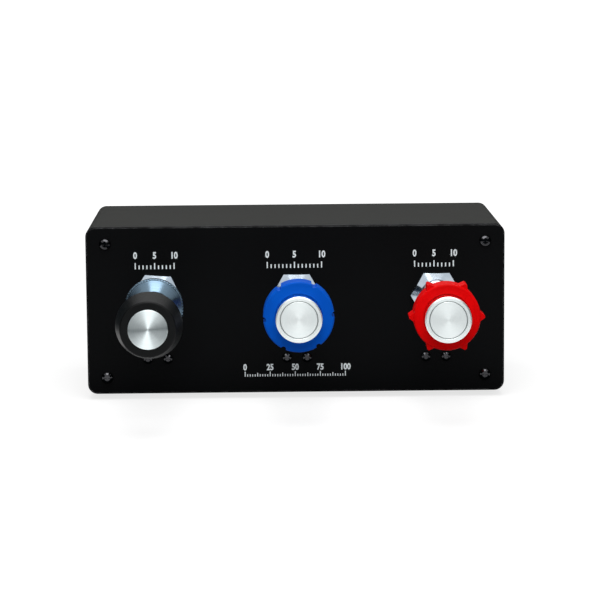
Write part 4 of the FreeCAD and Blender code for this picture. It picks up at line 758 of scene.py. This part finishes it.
for control, nose_radius, nose_end in (("throttle", 6.2, 38.0), ("prop", 7.2, 19.5), ("mixture", 7.2, 19.5)):
    outline = [(BARREL_BORE, TAIL_END), (TAIL_RADIUS, TAIL_END), (TAIL_RADIUS, SHOULDER_REAR)]
    outline += [(SHOULDER_RADIUS, SHOULDER_REAR), (SHOULDER_RADIUS, SHOULDER_FRONT)]
    outline += [(THREAD_CREST, forward) for forward in steps(SHOULDER_FRONT, THREAD_END, THREAD_ROWS)]
    outline += [(nose_radius, THREAD_END + THREAD_CREST - nose_radius), (nose_radius, nose_end - NOSE_BEVEL)]
    outline += [(nose_radius - NOSE_BEVEL, nose_end), (BARREL_BORE, nose_end)]
    turn_piece(f"{control}_barrel", "enclosure", outline, BARREL_COLUMNS, cut_thread)


# %% [markdown]
# The friction wheel is squeezed by fingers, so its rim is knurled: two sets of slanting grooves cross and
# leave small diamonds. Its front is turned to a shallow cone down to a small flat round the shaft, which is
# what mirrors the light as one soft streak at the top.

# %% Diamond knurl on the friction wheel
WHEEL_RADIUS, WHEEL_REAR, WHEEL_FRONT = 14.7, 36.0, 44.0
RIM_FRONT, CONE_SMALL = 40.2, 9.0
WHEEL_BORE, SHAFT_HOLE, WEB_THICK = 6.25, 5.15, 2.0
RIM_BEVEL, BEVEL_DROP, LAND_WIDTH = 0.3, 0.5, 0.3
KNURLS, KNURL_DEPTH, KNURL_WIDTH = 60, 0.4, 0.34
KNURL_PITCH = FULL_TURN * WHEEL_RADIUS / KNURLS
KNURL_COLUMNS, KNURL_ROWS = 8, 22  # columns for one knurl, and rows across the rim


def cut_knurl(radius, forward, angle):
    """The rim's radius where two slanting sets of grooves cross it; elsewhere the outline's own."""
    if radius != WHEEL_RADIUS:
        return radius
    round_rim = KNURLS * angle / FULL_TURN
    across_rim = (forward - WHEEL_REAR) / KNURL_PITCH
    near_groove = max(abs(((round_rim + side * across_rim) % 1.0) - 0.5) * 2 for side in (-1, 1))
    groove = max(0.0, (near_groove - 1.0 + KNURL_WIDTH) / KNURL_WIDTH)
    return radius - KNURL_DEPTH * groove


LAND_RADIUS = WHEEL_RADIUS - BEVEL_DROP
outline = [(WHEEL_BORE, WHEEL_REAR), (LAND_RADIUS, WHEEL_REAR)]
rim_rows = steps(WHEEL_REAR + RIM_BEVEL, RIM_FRONT - RIM_BEVEL, KNURL_ROWS)
outline += [(WHEEL_RADIUS, forward) for forward in rim_rows]
outline += [(LAND_RADIUS, RIM_FRONT), (LAND_RADIUS - LAND_WIDTH, RIM_FRONT)]
outline += [(CONE_SMALL, WHEEL_FRONT), (SHAFT_HOLE, WHEEL_FRONT)]
outline += [(SHAFT_HOLE, WHEEL_FRONT - WEB_THICK), (WHEEL_BORE, WHEEL_FRONT - WEB_THICK)]
turn_piece("throttle_friction_wheel", "throttle_wheel", outline, KNURLS * KNURL_COLUMNS, cut_knurl)


# %% [markdown]
# White marks are screen printed on the panel: a small scale over each control and a longer one below the
# middle. They are numbers and ticks only. Printing leaves a film a few hundredths of a millimetre thick,
# so the marks are real thin solids: ticks made as flat bars, figures taken from the built-in font and
# meshed. These helpers work in millimetres from the panel's middle.

# %% Helpers for printed marks
INK_THICK = 0.04
FIGURE_SQUEEZE = 0.82  # narrower than the built-in font
CAP_SHARE = 0.72  # a capital's height as a share of the font's size
STROKE_SHARE = 0.05  # added to each stroke's edge, as a share of the height
PANEL_MIDDLE_Z = (panel_low.z + panel_high.z) / 2

ink, ink_tree, ink_shader = new_finish("print_ink")
ink_skin = use_effect(ink_tree, grain, Grain_size=0.25, Drift_size=5.0)
THIN_INK, FULL_INK = (0.74, 0.80, 0.82, 1.0), (0.84, 0.90, 0.92, 1.0)
ink_colour = blend_colours(ink_tree, ink_skin.outputs["Drift"], THIN_INK, FULL_INK)
ink_dullness = rescale(ink_tree, ink_skin.outputs["Height"], NOISE_LOW, NOISE_HIGH, 0.5, 0.65)
feed(ink_tree, ink_shader.inputs["Base Color"], ink_colour)
feed(ink_tree, ink_shader.inputs["Roughness"], ink_dullness)
roughen(ink_tree, ink_shader, ink_skin.outputs["Height"], 0.01)
print("ink film, mm:", INK_THICK, "panel middle at z, mm:", round(PANEL_MIDDLE_Z / MM, 1))


def add_bar(shape, x, z, width, height):
    """A thin printed bar centred at x and z."""
    corners = []
    for depth in (0.0, -INK_THICK):
        for side_x, side_z in ((-1, -1), (1, -1), (1, 1), (-1, 1)):
            spot = (x + side_x * width / 2, depth, z + side_z * height / 2)
            corners.append(shape.verts.new(spot))
    back, front = corners[:4], corners[4:]
    shape.faces.new(front)
    shape.faces.new(back[::-1])
    for k in range(4):
        after = (k + 1) % 4
        shape.faces.new((back[k], back[after], front[after], front[k]))


def add_figure(shape, digits, x, z, height):
    """Printed digits centred at x, standing on z, with a given height in millimetres."""
    letters = bpy.data.curves.new("figure", "FONT")
    letters.body = digits
    letters.size = height / CAP_SHARE
    letters.align_x = "CENTER"
    letters.offset = STROKE_SHARE * height
    letters.extrude = INK_THICK / 2
    letters.resolution_u = 3
    holder = bpy.data.objects.new("figure", letters)
    bpy.context.scene.collection.objects.link(holder)
    bpy.context.view_layer.update()
    graph = bpy.context.evaluated_depsgraph_get()
    flat = bpy.data.meshes.new_from_object(holder.evaluated_get(graph))
    stand = Matrix.Translation((x, -INK_THICK / 2, z)) @ Matrix.Rotation(math.radians(90), 4, "X")
    flat.transform(stand @ Matrix.Diagonal((FIGURE_SQUEEZE, 1.0, 1.0, 1.0)))
    shape.from_mesh(flat)
    bpy.data.objects.remove(holder)
    bpy.data.curves.remove(letters)
    bpy.data.meshes.remove(flat)


def print_marks(name, shape):
    """Printed marks as a piece on the panel."""
    shape.normal_update()
    mesh = bpy.data.meshes.new(name)
    shape.to_mesh(mesh)
    shape.free()
    mesh.transform(Matrix.Translation((0.0, PANEL_FACE_Y, PANEL_MIDDLE_Z)) @ Matrix.Scale(MM, 4))
    mesh.materials.append(ink)
    marks = bpy.data.objects.new(name, mesh)
    bpy.context.scene.collection.objects.link(marks)
    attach(marks, "enclosure")
    print(name, "faces:", len(mesh.polygons))


# %% [markdown]
# Over each control stands a scale from 0 to 10. The middle control's scale is wider than its neighbours',
# with more ticks. The ticks at the ends and in the middle are longer, and they carry the figures.

# %% Printed scales over the controls
SCALE_FIGURES_Z, SCALE_FOOT_Z = 27.1, 21.6
SCALE_FIGURE_HEIGHT, SCALE_TICK_WIDTH = 3.4, 0.6
LONG_TICK, SHORT_TICK = 3.2, 2.0
SCALE_ASIDE = -1.0  # from the control's axis to the scale's middle

for control, width, spaces in (("throttle", 20.0, 10), ("prop", 28.0, 14), ("mixture", 20.0, 10)):
    scale = bmesh.new()
    middle = AXIS_X[control] / MM + SCALE_ASIDE
    for tick in range(spaces + 1):
        tall = LONG_TICK if tick % (spaces // 2) == 0 else SHORT_TICK
        x = middle + width * (tick / spaces - 0.5)
        add_bar(scale, x, SCALE_FOOT_Z + tall / 2, SCALE_TICK_WIDTH, tall)
    for digits, share in (("0", -0.5), ("5", 0.0), ("10", 0.5)):
        add_figure(scale, digits, middle + share * width, SCALE_FIGURES_Z, SCALE_FIGURE_HEIGHT)
    print_marks(f"{control}_scale_print", scale)


# %% [markdown]
# Low on the panel a longer ruler runs from 0 to 100, with a tick for every two and a half, a longer one
# at each half of a quarter and the longest at the quarters, which carry the figures.

# %% Printed ruler low on the panel
RULER_MIDDLE, RULER_WIDTH, RULER_FOOT_Z = -0.5, 52.0, -35.1
RULER_SPACES, RULER_TICK_WIDTH = 40, 0.45
QUARTER_TICK, HALF_TICK, PLAIN_TICK = 2.6, 1.9, 1.2
RULER_FIGURES_UP, RULER_FIGURE_HEIGHT = 3.4, 3.2

ruler = bmesh.new()
for tick in range(RULER_SPACES + 1):
    tall = QUARTER_TICK if tick % 10 == 0 else (HALF_TICK if tick % 5 == 0 else PLAIN_TICK)
    x = RULER_MIDDLE + RULER_WIDTH * (tick / RULER_SPACES - 0.5)
    add_bar(ruler, x, RULER_FOOT_Z + tall / 2, RULER_TICK_WIDTH, tall)
for digits, share in (("0", -0.5), ("25", -0.25), ("50", 0.0), ("75", 0.25), ("100", 0.5)):
    x = RULER_MIDDLE + share * RULER_WIDTH
    add_figure(ruler, digits, x, RULER_FOOT_Z + RULER_FIGURES_UP, RULER_FIGURE_HEIGHT)
print_marks("travel_ruler_print", ruler)


# %% [markdown]
# The view transform is Standard, so a colour renders about as it is written.

# %% View transform, and the end
bpy.context.scene.view_settings.view_transform = "Standard"
